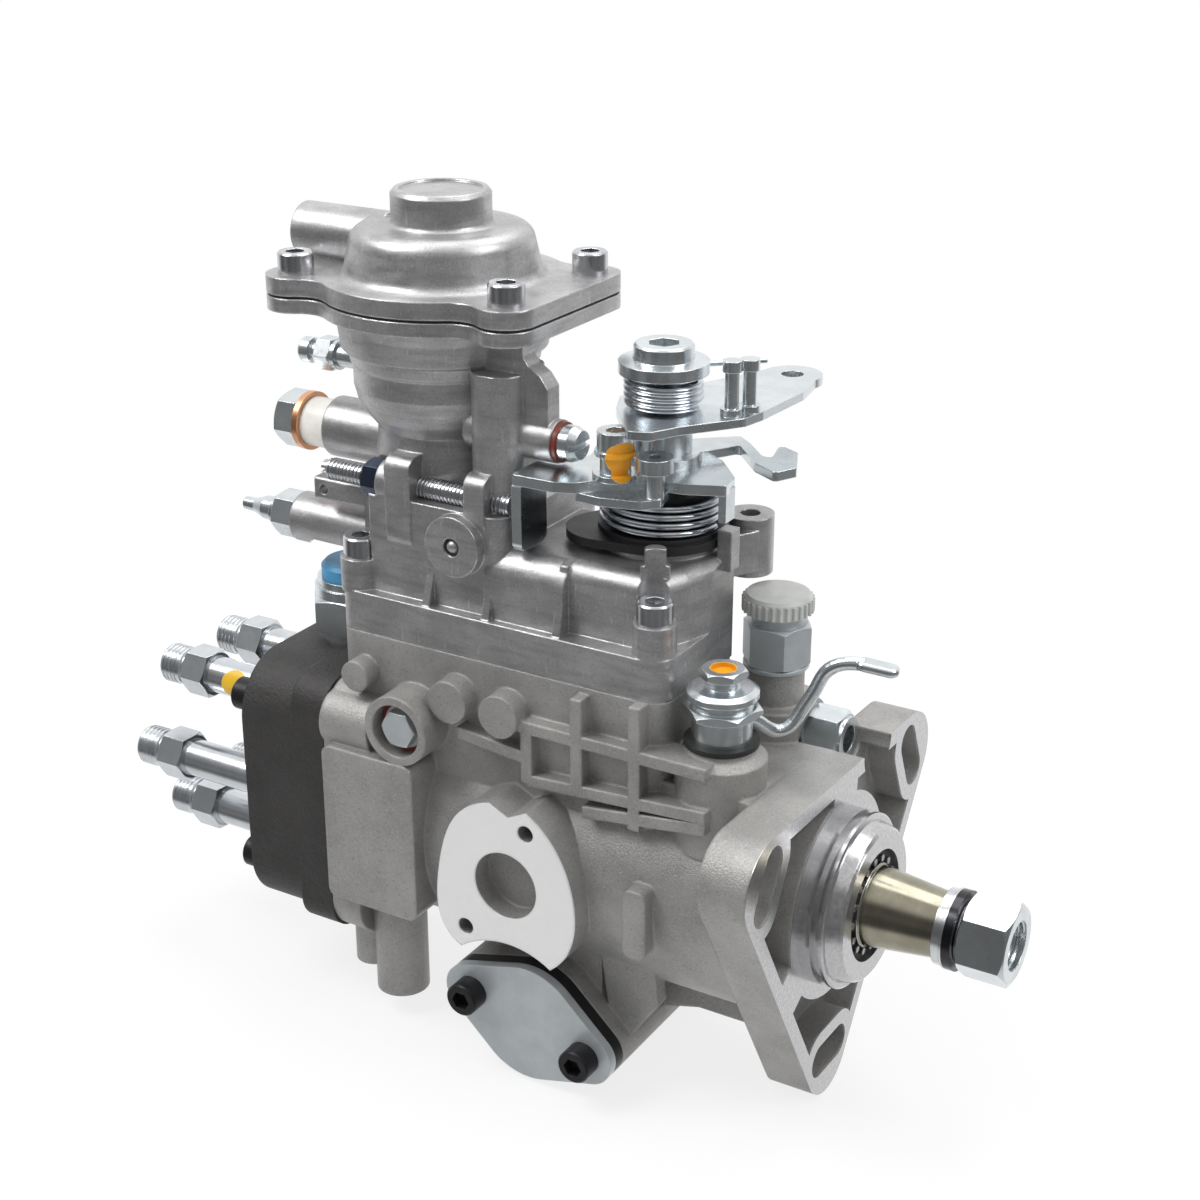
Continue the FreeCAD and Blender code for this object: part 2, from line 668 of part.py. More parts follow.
def distributor_head():
    """Steel head in two layers, with a spigot in the housing."""
    end_x = HEAD_JOINT_X - HEAD_L
    inner = rounded_plate("x", HEAD_JOINT_X - HEAD_LAYER_T, HEAD_JOINT_X, head_outline(), HEAD_CORNER_R - 2)
    outer = rounded_plate("x", end_x, HEAD_JOINT_X - HEAD_LAYER_T + 0.5, head_outline(), HEAD_END_CORNER_R)
    spigot = bar("x", BARREL_BORE_R, HEAD_JOINT_X, HEAD_JOINT_X + HEAD_SPIGOT_L)
    nose = bar("x", 14.0, HEAD_JOINT_X + HEAD_SPIGOT_L, HEAD_JOINT_X + HEAD_SPIGOT_L + 8.0)
    body = join(inner, outer, spigot, nose)
    bore = bar("x", PLUNGER_R + PLUNGER_CLEARANCE, end_x + 12.0, HEAD_JOINT_X + HEAD_SPIGOT_L + 9.0)
    screws = [bar("x", M6_R, end_x - 1, HEAD_JOINT_X + 1, yz) for yz in head_screw_places()]
    thread = bar("z", 10.0, HEAD_TOP_Z - 6.0, HEAD_TOP_Z + 1, (SOLENOID_X, SOLENOID_Y))
    return body.cut([bore, thread] + screws)


def delivery_valve_holder(across):
    """Threaded pipe union with its hexagon and long barrel."""
    seat = HEAD_JOINT_X - HEAD_L
    end = seat - HOLDER_L
    neck = end + HOLDER_THREAD_L
    hexagon = neck + HOLDER_NECK_L
    barrel = hexagon + HOLDER_HEX_L
    blank = turned("x", [
        (end, HOLDER_THREAD_R - 1.0), (end + 1.0, HOLDER_THREAD_R), (neck, HOLDER_THREAD_R),
        (neck + 0.5, HOLDER_NECK_R), (hexagon, HOLDER_NECK_R), (hexagon, HOLDER_BARREL_R),
        (barrel, HOLDER_BARREL_R), (seat, HOLDER_BARREL_R)], across)
    flats = hex_nut("x", HOLDER_HEX_AF, hexagon, barrel, across)
    port = turned("x", [
        (end - 0.5, HOLDER_CONE_R + 0.4), (end + 2.5, HOLDER_PORT_R), (seat - 4.0, HOLDER_PORT_R)], across)
    return join(blank, flats).cut(port)


def boost_outline(low, high, grow=0.0):
    """Four-eared outline of the boost chamber flange."""
    ear = BOOST_EAR_R + grow
    reach = BOOST_SCREW_X + ear
    discs = [bar("z", ear, low, high, (BOOST_X + sx * BOOST_SCREW_X, sy * BOOST_SCREW_Y))
             for sx in (-1, 1) for sy in (-1, 1)]
    sides = [
        box(BOOST_X - reach, BOOST_X - reach + 12, -BOOST_SCREW_Y, BOOST_SCREW_Y, low, high),
        box(BOOST_X + reach - 12, BOOST_X + reach, -BOOST_SCREW_Y, BOOST_SCREW_Y, low, high),
        box(BOOST_X - BOOST_SCREW_X, BOOST_X + BOOST_SCREW_X, -BOOST_SCREW_Y, BOOST_SCREW_Y, low, high),
    ]
    plate = join(bar("z", BOOST_DISC_R + grow, low, high, (BOOST_X, 0)), *discs, *sides)
    hollows = []
    for edge in plate.Edges:
        ends = [vertex.Point for vertex in edge.Vertexes]
        if edge.Curve.TypeId == "Part::GeomLine" and abs(ends[0].z - ends[-1].z) > 1e-6:
            away = math.hypot(ends[0].x - BOOST_X, ends[0].y)
            if abs(away - BOOST_DISC_R - grow) < 1e-4:
                hollows.append(edge)
    return plate.makeFillet(BOOST_HOLLOW_R - grow, hollows)


def cover_ribs(top):
    """Small triangular ribs at the foot of the cover wall."""
    ribs = []
    for x in (LUG_BACK_X + 18.0, LUG_BACK_X + 37.8):
        ribs.append(slab("x", x - 1.2, x + 1.2, [
            (-COVER_HALF_W + 1.0, top), (-TOWER_HALF_W + 1, top), (-TOWER_HALF_W + 1, top + 12.0)]))
    ribs.append(slab("x", SHOULDER_FRONT_X - 2.4, SHOULDER_FRONT_X, [
        (-COVER_HALF_W + 1.0, top), (-20.0, top), (-20.0, PLATEAU_Z), (-24.0, PLATEAU_Z - 1.0)]))
    return ribs


def cover_lugs():
    """Lugs that carry the idle stop screw, with the drilled bar behind them."""
    at = (STOP_SCREW_Y, STOP_SCREW_Z)
    return [
        round_corners(box(-130.9, -122.6, -26.5, -13.0, 86.0, 113.0), 4.0, V(1, 0, 0)),
        round_corners(box(-104.4, -97.8, -26.5, -13.0, 95.0, 112.0), 4.0, V(1, 0, 0)),
        round_corners(box(-165.0, -140.0, -15.0, -9.5, 90.8, 97.6), 1.0, V(1, 0, 0)),
        bar("x", 6.4, LUG_BACK_X, -125.0, at),
    ]


def boost_bowl():
    """Bowl under the boost chamber with its bosses and strengthening fin."""
    low = BOOST_JOINT_Z - BOOST_LOWER_T
    joint = BOOST_JOINT_Z - DIAPHRAGM_T / 2.0
    bowl = turned("z", [
        (96.0, 22.0), (112.0, 20.0), (117.0, 19.6), (121.0, 22.6), (125.0, 25.0), (129.0, 26.0),
        (135.0, 26.0), (136.0, 26.8), (139.0, 27.4), (140.0, 29.2), (146.0, 30.0), (low + 0.5, 31.0)], (BOOST_X, 0))
    column = rounded_plate("z", 96.0, 139.5, [
        (-107.0, -22.5), (-91.4, -22.5), (-91.4, 0.0), (-107.0, 0.0)], 7.0)
    fin = slab("y", -16.0, -10.0, [
        (-110.0, 118.0), (-83.6, 118.0), (-83.6, 136.5), (-86.0, 139.8), (-89.5, 142.0), (-91.4, 144.5),
        (-91.4, low + 1), (-110.0, low + 1)])
    return [
        bowl, column, fin, boost_outline(low, joint),
        bar("x", PLUG_BOSS_R, -110.0, PLUG_X - 4.4, (PLUG_Y, PLUG_Z)),
        bar("x", 9.0, PIVOT_SEAT_X, -120.0, (PIVOT_BOLT_Y, PIVOT_BOLT_Z)),
        bar("x", 7.6, FULL_LOAD_SEAT_X, -140.0, (FULL_LOAD_Y, FULL_LOAD_Z)),
    ]


def cover_posts():
    """Posts and the drilled ear around the lever axis."""
    ear = join(
        bar("z", 6.8, 80.0, 97.0, COVER_EAR_AT),
        slab("z", 82.0, PLATEAU_Z + PAD_RISE, [(-58.0, 10.0), (-44.0, 8.0), (-37.5, 20.0), (-44.0, 30.0), (-60.0, 21.0)]))
    round_post = join(bar("z", 4.0, PLATEAU_Z - 1, PLATEAU_Z + 3.0, ROUND_POST_AT),
                      bar("z", 2.9, PLATEAU_Z, PLATEAU_Z + 7.5, ROUND_POST_AT))
    square_post = box(-41.0, -36.8, 1.6, 6.6, PLATEAU_Z - 4, PLATEAU_Z + 7.5)
    pad = bar("z", 17.0, PLATEAU_Z - 1, PLATEAU_Z + PAD_RISE, (LEVER_X, LEVER_Y))
    return [ear, round_post, square_post, pad]


def governor_cover():
    """Die-cast cover with the lower half of the boost chamber."""
    band_top = JOINT_Z + BAND_H
    band = rounded_plate("z", JOINT_Z, band_top, cover_outline(), CORNER_R)
    tower = round_corners(
        box(COVER_BACK_X + 3, TOWER_FRONT_X, -TOWER_HALF_W, TOWER_HALF_W, band_top, TOWER_Z), 5.0, V(0, 0, 1))
    shoulder = box(TOWER_FRONT_X - 6, SHOULDER_FRONT_X, -SHOULDER_HALF_W, HUMP_HALF_W, JOINT_Z, PLATEAU_Z)
    shoulder = round_corners(shoulder, 9.0, V(1, 0, 0))
    hump = slab("z", JOINT_Z, PLATEAU_Z, [
        (SHOULDER_FRONT_X - 8, -HUMP_HALF_W - 2.0), (-46.5, -HUMP_HALF_W - 2.0), (-41.6, -12.5),
        (COVER_FRONT_X, -4.0), (COVER_FRONT_X, COVER_CUT_Y), (COVER_CUT_X, HUMP_HALF_W),
        (SHOULDER_FRONT_X - 8, HUMP_HALF_W)])
    rim = [edge for edge in hump.Edges if abs(edge.CenterOfMass.z - PLATEAU_Z) < 1e-6
           and edge.CenterOfMass.y < -5.0 and edge.CenterOfMass.x > SHOULDER_FRONT_X - 7.0]
    hump = hump.makeFillet(5.0, rim)
    bosses = [bar("z", SCREW_BOSS_R, band_top - 1, SCREW_BOSS_TOP_Z, xy) for xy in cover_screw_places()]
    ball_at = (-106.8, 91.6)
    ball_boss = bar("y", 8.8, -29.5, -20.0, ball_at).cut(bar("y", 2.6, -30.0, -27.0, ball_at))
    ball = Part.makeSphere(2.0, V(ball_at[0], -28.0, ball_at[1]))
    body = join(
        band, tower, shoulder, hump, ball_boss, ball, *bosses, *cover_ribs(band_top), *cover_lugs(),
        *boost_bowl(), *cover_posts())
    wall = CHAMBER_WALL
    hollow = rounded_plate("z", JOINT_Z - 1, band_top + 6.0, [
        (COVER_BACK_X + wall + 3, -TOWER_HALF_W + wall - 1),
        (COVER_FRONT_X - wall - 6, -HUMP_HALF_W + wall),
        (COVER_FRONT_X - wall - 6, COVER_CUT_Y - wall),
        (COVER_CUT_X - wall - 4, HUMP_HALF_W - wall),
        (COVER_BACK_X + wall + 3, TOWER_HALF_W - wall),
    ], 3.0)
    stop_at = (STOP_SCREW_Y, STOP_SCREW_Z)
    pivot_at = (PIVOT_BOLT_Y, PIVOT_BOLT_Z)
    joint = BOOST_JOINT_Z - DIAPHRAGM_T / 2.0
    cuts = [
        hollow,
        bar("z", 25.0, 143.0, joint + 1, (BOOST_X, 0)),
        bar("z", 14.0, 128.0, 144.0, (BOOST_X, 0)),
        bar("z", BOOST_PIN_R + BOOST_PIN_CLEARANCE, 98.0, 130.0, (BOOST_X, 0)),
        bar("x", STOP_SCREW_R, -157.0, -92.0, stop_at),
        bar("x", 6.5, -157.0, LUG_BACK_X, stop_at),
        bar("y", 1.5, -16.0, -8.0, (-161.6, 94.2)),
        bar("x", 5.0, PIVOT_SEAT_X - 1, PIVOT_WASHER_X + 30.0, pivot_at),
        bar("x", 4.0, FULL_LOAD_SEAT_X - 1, -160.0, (FULL_LOAD_Y, FULL_LOAD_Z)),
        bar("x", 3.4, NIPPLE_X, NIPPLE_X + 26.0, (NIPPLE_Y, NIPPLE_Z)),
        bar("z", LEVER_SHAFT_R + LEVER_BORE_CLEARANCE, 70.0, PLATEAU_Z + 3, (LEVER_X, LEVER_Y)),
        bar("z", 2.9, 79.0, 98.0, COVER_EAR_AT),
        bar("z", 12.6, 43.0, 76.0, (SOLENOID_X, SOLENOID_Y)),
    ]
    cuts += [bar("z", M6_R, JOINT_Z - 1, SCREW_BOSS_TOP_Z + 1, xy) for xy in cover_screw_places()]
    cuts += [bar("z", M6_HEAD_R + 0.4, SCREW_BOSS_TOP_Z, SCREW_BOSS_TOP_Z + 30, xy)
             for xy in cover_screw_places()]
    cuts += [bar("z", M6_R, BOOST_JOINT_Z - 6, joint + 1, xy) for xy in boost_screw_places()]
    return body.cut(cuts)


def cover_screw_places():
    """Centres of the four cover screws."""
    return [
        (COVER_SCREW_FRONT_X, -COVER_SCREW_Y), (COVER_SCREW_BACK_X, -COVER_SCREW_Y),
        (COVER_SCREW_BACK_X, COVER_SCREW_Y), (COVER_SCREW_FAR_X, COVER_SCREW_Y),
    ]


def boost_cover():
    """Domed cover of the boost chamber with its inlet and cap."""
    low = BOOST_JOINT_Z + DIAPHRAGM_T / 2.0
    top = BOOST_JOINT_Z + BOOST_LAYER_T
    plate = boost_outline(low, top)
    crown = top + DOME_H
    dome = turned("z", [
        (low, 32.5), (top, 32.5), (top, 28.0), (crown, DOME_CROWN_R + 1.6), (crown, CAP_NECK_R),
        (CAP_BASE_Z, CAP_NECK_R), (CAP_BASE_Z + 7.7, CAP_NECK_R), (CAP_BASE_Z + 8.9, CAP_NECK_R - 1.0)],
        (BOOST_X, 0))
    dome = round_rims(dome, 3.4, top, 28.0)
    dome = round_rims(dome, 4.6, crown, DOME_CROWN_R + 1.6)
    dome = round_rims(dome, 1.6, crown, CAP_NECK_R)
    at = (BOOST_PORT_Y, BOOST_PORT_Z)
    inlet = join(bar("x", BOOST_PORT_BOSS_R, BOOST_PORT_X, -146.0, at),
                 box(-172.0, -146.0, BOOST_PORT_Y - 5.0, BOOST_PORT_Y + 5.0, low, BOOST_PORT_Z))
    body = join(plate, dome, inlet)
    hollow = turned("z", [(low - 1, 25.0), (low, 25.0), (top + 7.0, 20.0)], (BOOST_X, 0))
    bore = bar("x", BOOST_PORT_R, BOOST_PORT_X - 1, -140.0, at)
    inset = bar("z", CAP_NECK_R - 2.4, CAP_BASE_Z + 8.2, CAP_BASE_Z + 10.0, (BOOST_X, 0))
    holes = [bar("z", M6_R, low - 1, top + 1, xy) for xy in boost_screw_places()]
    return body.cut([hollow, bore, inset] + holes)


def lever_hole(radius, across):
    """Cutter for a hole through any lever."""
    return bar("z", radius, 80.0, 160.0, across)


def swept(points, wire_r, sides=8):
    """Straight lengths of wire through points, mitred at each, with a many-sided section."""
    along = (points[1] - points[0]).normalize()
    side = along.cross(V(0, 0, 1)).normalize()
    up = side.cross(along)
    rim = []
    for step in range(sides):
        angle = 2 * math.pi * (step + 0.5) / sides
        rim.append(points[0] + side * (wire_r * math.cos(angle)) + up * (wire_r * math.sin(angle)))
    section = Part.makePolygon(rim + [rim[0]])
    return Part.makePolygon(points).makePipeShell([section], True, False, 1)


def coil(radius, wire_r, low, high, turns, across):
    """Wire coil about a vertical axis."""
    run = high - low - 2 * wire_r
    steps = COIL_STEPS * turns
    points = []
    for step in range(steps + 1):
        angle = 2 * math.pi * step / COIL_STEPS
        points.append(V(across[0] + radius * math.cos(angle), across[1] + radius * math.sin(angle),
                        low + wire_r + run * step / steps))
    return swept(points, wire_r)


def spring_cup():
    """Black cup that shields the return spring."""
    at = (LEVER_X, LEVER_Y)
    base = PLATEAU_Z + PAD_RISE
    body = join(
        bar("z", CUP_R, base, CUP_TOP_Z, at),
        hull_of_discs("z", base, base + CUP_RIM_T, [
            (LEVER_X, LEVER_Y, CUP_RIM_R), (LEVER_X - 12.0, LEVER_Y - 8.0, 12.0)]))
    body = body.cut(bar("z", CUP_R - 2.0, base + CUP_FLOOR_T, CUP_TOP_Z + 1, at))
    body = body.cut(lever_hole(LEVER_SHAFT_R + LEVER_BORE_CLEARANCE, at))
    drum = tube("z", SPRING_DRUM_R, HUB_R + LEVER_BORE_CLEARANCE, base + CUP_FLOOR_T, LOWER_PLATE_Z - 1.0, at)
    return join(body, drum)


def throttle_shaft():
    """Lever shaft with its hub, its eccentric pin and the hook lever."""
    at = (LEVER_X, LEVER_Y)
    shaft = bar("z", LEVER_SHAFT_R, 72.0, SHAFT_TOP_Z, at)
    hub = bar("z", HUB_R, PLATEAU_Z + PAD_RISE + CUP_FLOOR_T + 0.4, UPPER_LEVER_Z - 0.1, at)
    ball_pin = bar("z", 2.0, 68.0, 74.0, (LEVER_X - 2.8, LEVER_Y))
    low = STOP_LEVER_Z + LEVER_T
    hook = slab("z", low, low + HOOK_T, [
        (-55.0, -3.0), (-50.5, 10.0), (-44.5, 20.4), (-34.0, 8.9), (-25.8, 4.3), (-22.6, 10.9), (-27.8, 22.4),
        (-35.1, 26.1), (-32.0, 15.0), (-35.0, 15.1), (-42.9, 23.4), (-48.0, 27.5), (-66.0, 12.0)])
    hook = round_corners(hook, 1.2, V(0, 0, 1))
    return join(shaft, hub, ball_pin, bar("z", HUB_R + 2.0, low, low + HOOK_T, at), hook)


def stop_lever():
    """Front lever with its bent-down stop tab and its raised eye."""
    low = STOP_LEVER_Z
    plate = slab("z", low, low + LEVER_T, [
        (-89.0, -26.0), (-76.0, -25.6), (-70.6, -23.3), (-66.2, -17.8), (-57.0, -10.5), (-46.0, -9.5),
        (-35.4, -5.0), (-36.3, 1.9), (-46.2, 13.4), (-49.5, 14.4), (-60.0, 16.0), (-82.5, 12.0),
        (-79.2, -1.4), (-81.8, -12.8), (-89.0, -13.0)])
    plate = round_corners(plate, 1.0, V(0, 0, 1))
    tab = box(-89.0, -89.0 + LEVER_T, -26.0, -13.0, low - 19.0, low + 1.0)
    tab = round_corners(tab, 2.5, V(1, 0, 0))
    hook = box(-38.0, -35.8, -4.0, 1.2, low - 8.0, low + 1.0)
    lower = slab("z", LOWER_PLATE_Z, low, [
        (-71.8, -22.4), (-63.3, -22.8), (-52.7, -20.1), (-49.0, -16.0), (-50.5, -8.0), (-57.9, -4.0),
        (-70.0, -6.0)])
    lower = round_corners(lower, 1.5, V(0, 0, 1))
    eye_z = low + EYE_POST_L
    eye = join(
        bar("z", 2.6, low - 0.5, eye_z, EYE_AT),
        bar("z", 5.0, eye_z, eye_z + 4.0, EYE_AT).cut(bar("z", 1.6, eye_z + 1.0, eye_z + 5.0, EYE_AT)))
    return join(plate, tab, hook, lower, eye).cut(lever_hole(HUB_R, (LEVER_X, LEVER_Y)))


def lever_screw():
    """Socket screw that clamps the front lever, with its washer."""
    low = STOP_LEVER_Z + LEVER_T
    body = join(
        bar("z", 6.2, low, low + 1.6, LEVER_SCREW_AT), bar("z", 4.2, low + 1.6, low + 6.4, LEVER_SCREW_AT),
        bar("z", 5.6, low + 6.4, low + 7.8, LEVER_SCREW_AT), bar("z", 5.0, low + 7.8, low + 13.0, LEVER_SCREW_AT))
    return body.cut(hex_bar("z", 5.0, low + 10.0, low + 14.0, LEVER_SCREW_AT))


def upper_lever():
    """Upper lever plate with its ball-stud hole."""
    low = UPPER_LEVER_Z
    plate = slab("z", low, low + UPPER_LEVER_T, UPPER_LEVER_OUTLINE)
    plate = round_corners(plate, 2.5, V(0, 0, 1))
    plate = join(plate, bar("z", LEVER_EYE_BOSS_R, low, low + UPPER_LEVER_T, LEVER_EYE))
    shaft_hole = lever_hole(LEVER_SHAFT_R + LEVER_BORE_CLEARANCE, (LEVER_X, LEVER_Y))
    return plate.cut([shaft_hole, lever_hole(LEVER_EYE_R, LEVER_EYE)])


def lever_pins():
    """Upright pins on the upper lever that the small spring works against."""
    low = UPPER_LEVER_Z + UPPER_LEVER_T
    pins = []
    for across, height in ((PIN_A, 15.0), (PIN_B, 14.5)):
        pins.append(join(bar("z", 3.0, low, low + 2.0, across), bar("z", 1.9, low + 2.0, low + height, across),
                         bar("z", 2.6, low + height - 3.0, low + height, across)))
    return group(pins)


def lever_cap():
    """Flanged socket cap on top of the lever shaft."""
    low = CAP_TOP_Z - 9.0
    body = turned("z", [
        (low, 10.0), (low + 1.0, 12.3), (low + 4.2, 12.3), (low + 4.8, 8.4), (CAP_TOP_Z - 0.6, 8.2),
        (CAP_TOP_Z, 7.6)], (LEVER_X, LEVER_Y))
    socket = hex_bar("z", 8.0, CAP_TOP_Z - 5.0, CAP_TOP_Z + 1, (LEVER_X, LEVER_Y))
    return body.cut([socket, bar("z", LEVER_SHAFT_R, low - 1, SHAFT_TOP_Z, (LEVER_X, LEVER_Y))])


def drive_shaft():
    """Shaft with its taper, thread, governor gear and driving tongue."""
    taper_end = TAPER_BACK_X + TAPER_L
    body = turned("x", [
        (SHAFT_BACK_X, SHAFT_R), (TAPER_BACK_X - 0.5, SHAFT_R), (TAPER_BACK_X, TAPER_R0),
        (taper_end, TAPER_R1), (taper_end, NUT_THREAD_R), (NUT_FRONT_X - 4.0, NUT_THREAD_R)])
    tongue = box(SHAFT_BACK_X - TONGUE_L, SHAFT_BACK_X + 1, -TONGUE_T / 2.0, TONGUE_T / 2.0, -9.0, 9.0)
    gear = spur_gear(GEAR_TEETH, GEAR_X, 0.0, 0.0)
    socket = turned("x", [(NUT_FRONT_X - 9.0, 0.2), (NUT_FRONT_X - 7.5, 3.0), (NUT_FRONT_X - 3.0, 3.4)])
    return join(body, tongue, gear).cut(socket)


def spur_gear(teeth, low, centre_z, phase):
    """Straight gear across X with simple flanks."""
    pitch_r = GEAR_MODULE * teeth / 2.0
    points = []
    for step in range(teeth):
        middle = 2 * math.pi * (step + phase) / teeth
        for radius, half in ((pitch_r - 1.25, 1.1), (pitch_r + 0.85, 0.36)):
            spread = half / radius
            sides = (-spread, spread) if radius > pitch_r else (-spread,)
            for side in sides:
                points.append((radius * math.cos(middle + side), centre_z + radius * math.sin(middle + side)))
        spread = 1.1 / (pitch_r - 1.25)
        radius = pitch_r - 1.25
        points.append((radius * math.cos(middle + spread), centre_z + radius * math.sin(middle + spread)))
    return slab("x", low, low + GEAR_W, points)


def shaft_washers():
    """Flat washer and spring washer between the taper and the nut."""
    start = TAPER_BACK_X + TAPER_L
    seat = NUT_FRONT_X - NUT_L
    flat = tube("x", 10.7, NUT_THREAD_R, start, start + 2.4)
    spring = join(tube("x", 11.2, NUT_THREAD_R, start + 2.4, seat - 1.2),
                  tube("x", 8.8, NUT_THREAD_R, seat - 1.2, seat))
    return group([flat, spring])


def shaft_nut():
    """Hexagon nut on the shaft."""
    blank = hex_nut("x", NUT_AF, NUT_FRONT_X - NUT_L, NUT_FRONT_X, (0, 0), NUT_TURN)
    return blank.cut(bar("x", NUT_THREAD_R, 0.0, NUT_FRONT_X + 1))


def feed_pump_rotor():
    """Rotor of the vane feed pump with its four vanes."""
    low = CAVITY_FRONT_X - FEED_W + 0.1
    high = CAVITY_FRONT_X - 0.1
    shapes = [bar("x", FEED_ROTOR_R, low, high)]
    for turn in range(4):
        vane = box(low, high, -1.5, 1.5, FEED_ROTOR_R - 4.0, FEED_ROTOR_R + 1.2)
        vane.rotate(V(0, 0, 0), V(1, 0, 0), 90.0 * turn + 45.0)
        shapes.append(vane)
    return join(*shapes).cut(bar("x", SHAFT_R, low - 1, high + 1))


def feed_pump_ring():
    """Eccentric ring of the vane feed pump."""
    low = CAVITY_FRONT_X - FEED_W
    ring = bar("x", BARREL_BORE_R, low, CAVITY_FRONT_X)
    return ring.cut(bar("x", FEED_RING_R, low - 1, CAVITY_FRONT_X + 1, (0.0, 1.2)))


def distributor_plunger():
    """Cam plate with six lobes, its driving claws and the distributor plunger."""
    face = RING_BACK_X - ROLLER_R - CAM_GAP - CAM_LIFT
    disc = bar("x", CAM_R, face - 6.6, face)
    shapes = [disc, bar("x", PLUNGER_R, PLUNGER_END_X, face - 6.0), bar("x", 9.0, face - 10.6, face - 6.0)]
    hub = bar("x", 12.0, face - 1.0, SHAFT_BACK_X - CAM_LIFT - 0.8)
    slot = box(face + 1.0, SHAFT_BACK_X + 1, -TONGUE_T / 2.0 - 0.1, TONGUE_T / 2.0 + 0.1, -13.0, 13.0)
    shapes.append(hub.cut(slot))
    for step in range(HOLDER_COUNT):
        lobe = bar("z", LOBE_R, 17.0, CAM_R - 0.5, (face + CAM_LIFT - LOBE_R, 0.0))
        lobe.rotate(V(0, 0, 0), V(1, 0, 0), 360.0 / HOLDER_COUNT * (step + LOBE_PHASE))
        shapes.append(lobe)
    return join(*shapes)


def roller_ring():
    """Ring that carries four rollers and is turned by the timing piston."""
    ring = tube("x", BARREL_BORE_R - RING_CLEARANCE, 15.0, RING_BACK_X, RING_BACK_X + RING_W)
    ring = ring.cut(box(RING_BACK_X - 1, RING_BACK_X + RING_W + 1, -40, 40, RING_FLAT_Z, 40))
    stem = bar("z", 2.2, TIMING_Z, -30.0, (TIMING_X, 0.0))
    ball = Part.makeSphere(TIMING_BALL_R, V(TIMING_X, 0, TIMING_Z))
    pockets = []
    rollers = []
    for angle in (-30.0, 30.0, 150.0, 210.0):
        for radius, target in ((ROLLER_R + 0.1, pockets), (ROLLER_R, rollers)):
            grow = radius - ROLLER_R
            roller = bar("y", radius, 18.0 - grow, 24.0 + grow, (RING_BACK_X, 0.0))
            roller.rotate(V(0, 0, 0), V(1, 0, 0), angle)
            target.append(roller)
    return group([join(ring, stem, ball).cut(pockets)] + rollers)


def timing_piston():
    """Piston of the timing device, driven by fuel pressure."""
    half = TIMING_PISTON_L / 2.0
    body = bar("y", TIMING_BORE_R - TIMING_PISTON_CLEARANCE, -half, half, (TIMING_X, TIMING_Z))
    body = body.cut(bar("z", TIMING_BALL_R + 0.05, TIMING_Z - 5.0, TIMING_Z + 20.0, (TIMING_X, 0.0)))
    return body.cut(bar("y", 6.0, half - 12.0, half + 1, (TIMING_X, TIMING_Z)))


def governor_shaft():
    """Fixed rod that the governor cage and sleeve run on."""
    return bar("x", GOV_ROD_R, GOV_ROD_END_X, GOV_ROD_FRONT_X, (0.0, GOV_Z))


def governor_cage():
    """Flyweight cage with its gear."""
    at = (0.0, GOV_Z)
    hub_back = GEAR_X - 5.0
    shapes = [
        spur_gear(GOV_TEETH, GEAR_X, GOV_Z, 0.5),
        bar("x", CAGE_R, hub_back, GEAR_X, at),
        tube("x", CAGE_R, CAGE_R - 3.5, CAGE_END_X, CAGE_END_X + 3.0, at),
    ]
    for turn in range(4):
        arm = box(CAGE_END_X, hub_back + 1, -1.5, 1.5, GOV_Z + 12.2, GOV_Z + CAGE_R - 0.2)
        arm.rotate(V(0, 0, GOV_Z), V(1, 0, 0), 45.0 + 90.0 * turn)
        shapes.append(arm)
        for side in (-1, 1):
            ear = box(PIVOT_X - 1.8, hub_back + 1, side * 7.3 - 1.0, side * 7.3 + 1.0, GOV_Z + 10.6, GOV_Z + 14.4)
            ear = ear.cut(bar("y", 1.55, -10.0, 10.0, (PIVOT_X, GOV_Z + PIVOT_R)))
            ear.rotate(V(0, 0, GOV_Z), V(1, 0, 0), 90.0 * turn)
            shapes.append(ear)
    return join(*shapes).cut(bar("x", GOV_ROD_R + 0.04, CAGE_END_X - 1, GEAR_X + GEAR_W + 1, at))


def flyweight(turn):
    """Governor weight with its toe and pivot pin."""
    block = box(PIVOT_X - 18.5, PIVOT_X - 1.0, -6.0, 6.0, GOV_Z + 8.8, GOV_Z + 13.8)
    toe = box(PIVOT_X - 3.2, PIVOT_X - 1.0, -2.0, 2.0, GOV_Z + 5.0, GOV_Z + 9.5)
    boss = bar("y", 1.9, -6.0, 6.0, (PIVOT_X, GOV_Z + PIVOT_R))
    pin = bar("y", 1.5, -8.2, 8.2, (PIVOT_X, GOV_Z + PIVOT_R))
    bridge = box(PIVOT_X - 1.5, PIVOT_X, -6.0, 6.0, GOV_Z + PIVOT_R - 1.5, GOV_Z + PIVOT_R + 1.3)
    body = join(block, toe, boss, pin, bridge)
    body.rotate(V(0, 0, GOV_Z), V(1, 0, 0), 90.0 * turn)
    return body


def governor_sleeve():
    """Sliding sleeve pushed along by the flyweight toes."""
    flange_x = PIVOT_X - 3.5
    body = turned("x", [
        (SLEEVE_NOSE_X, 2.0), (SLEEVE_NOSE_X + 1.5, 6.0), (flange_x - 3.0, 6.0), (flange_x - 3.0, 8.0),
        (flange_x, 8.0)], (0.0, GOV_Z))
    return body.cut(bar("x", GOV_ROD_R + 0.04, GOV_ROD_END_X - 4.0, flange_x + 1, (0.0, GOV_Z)))


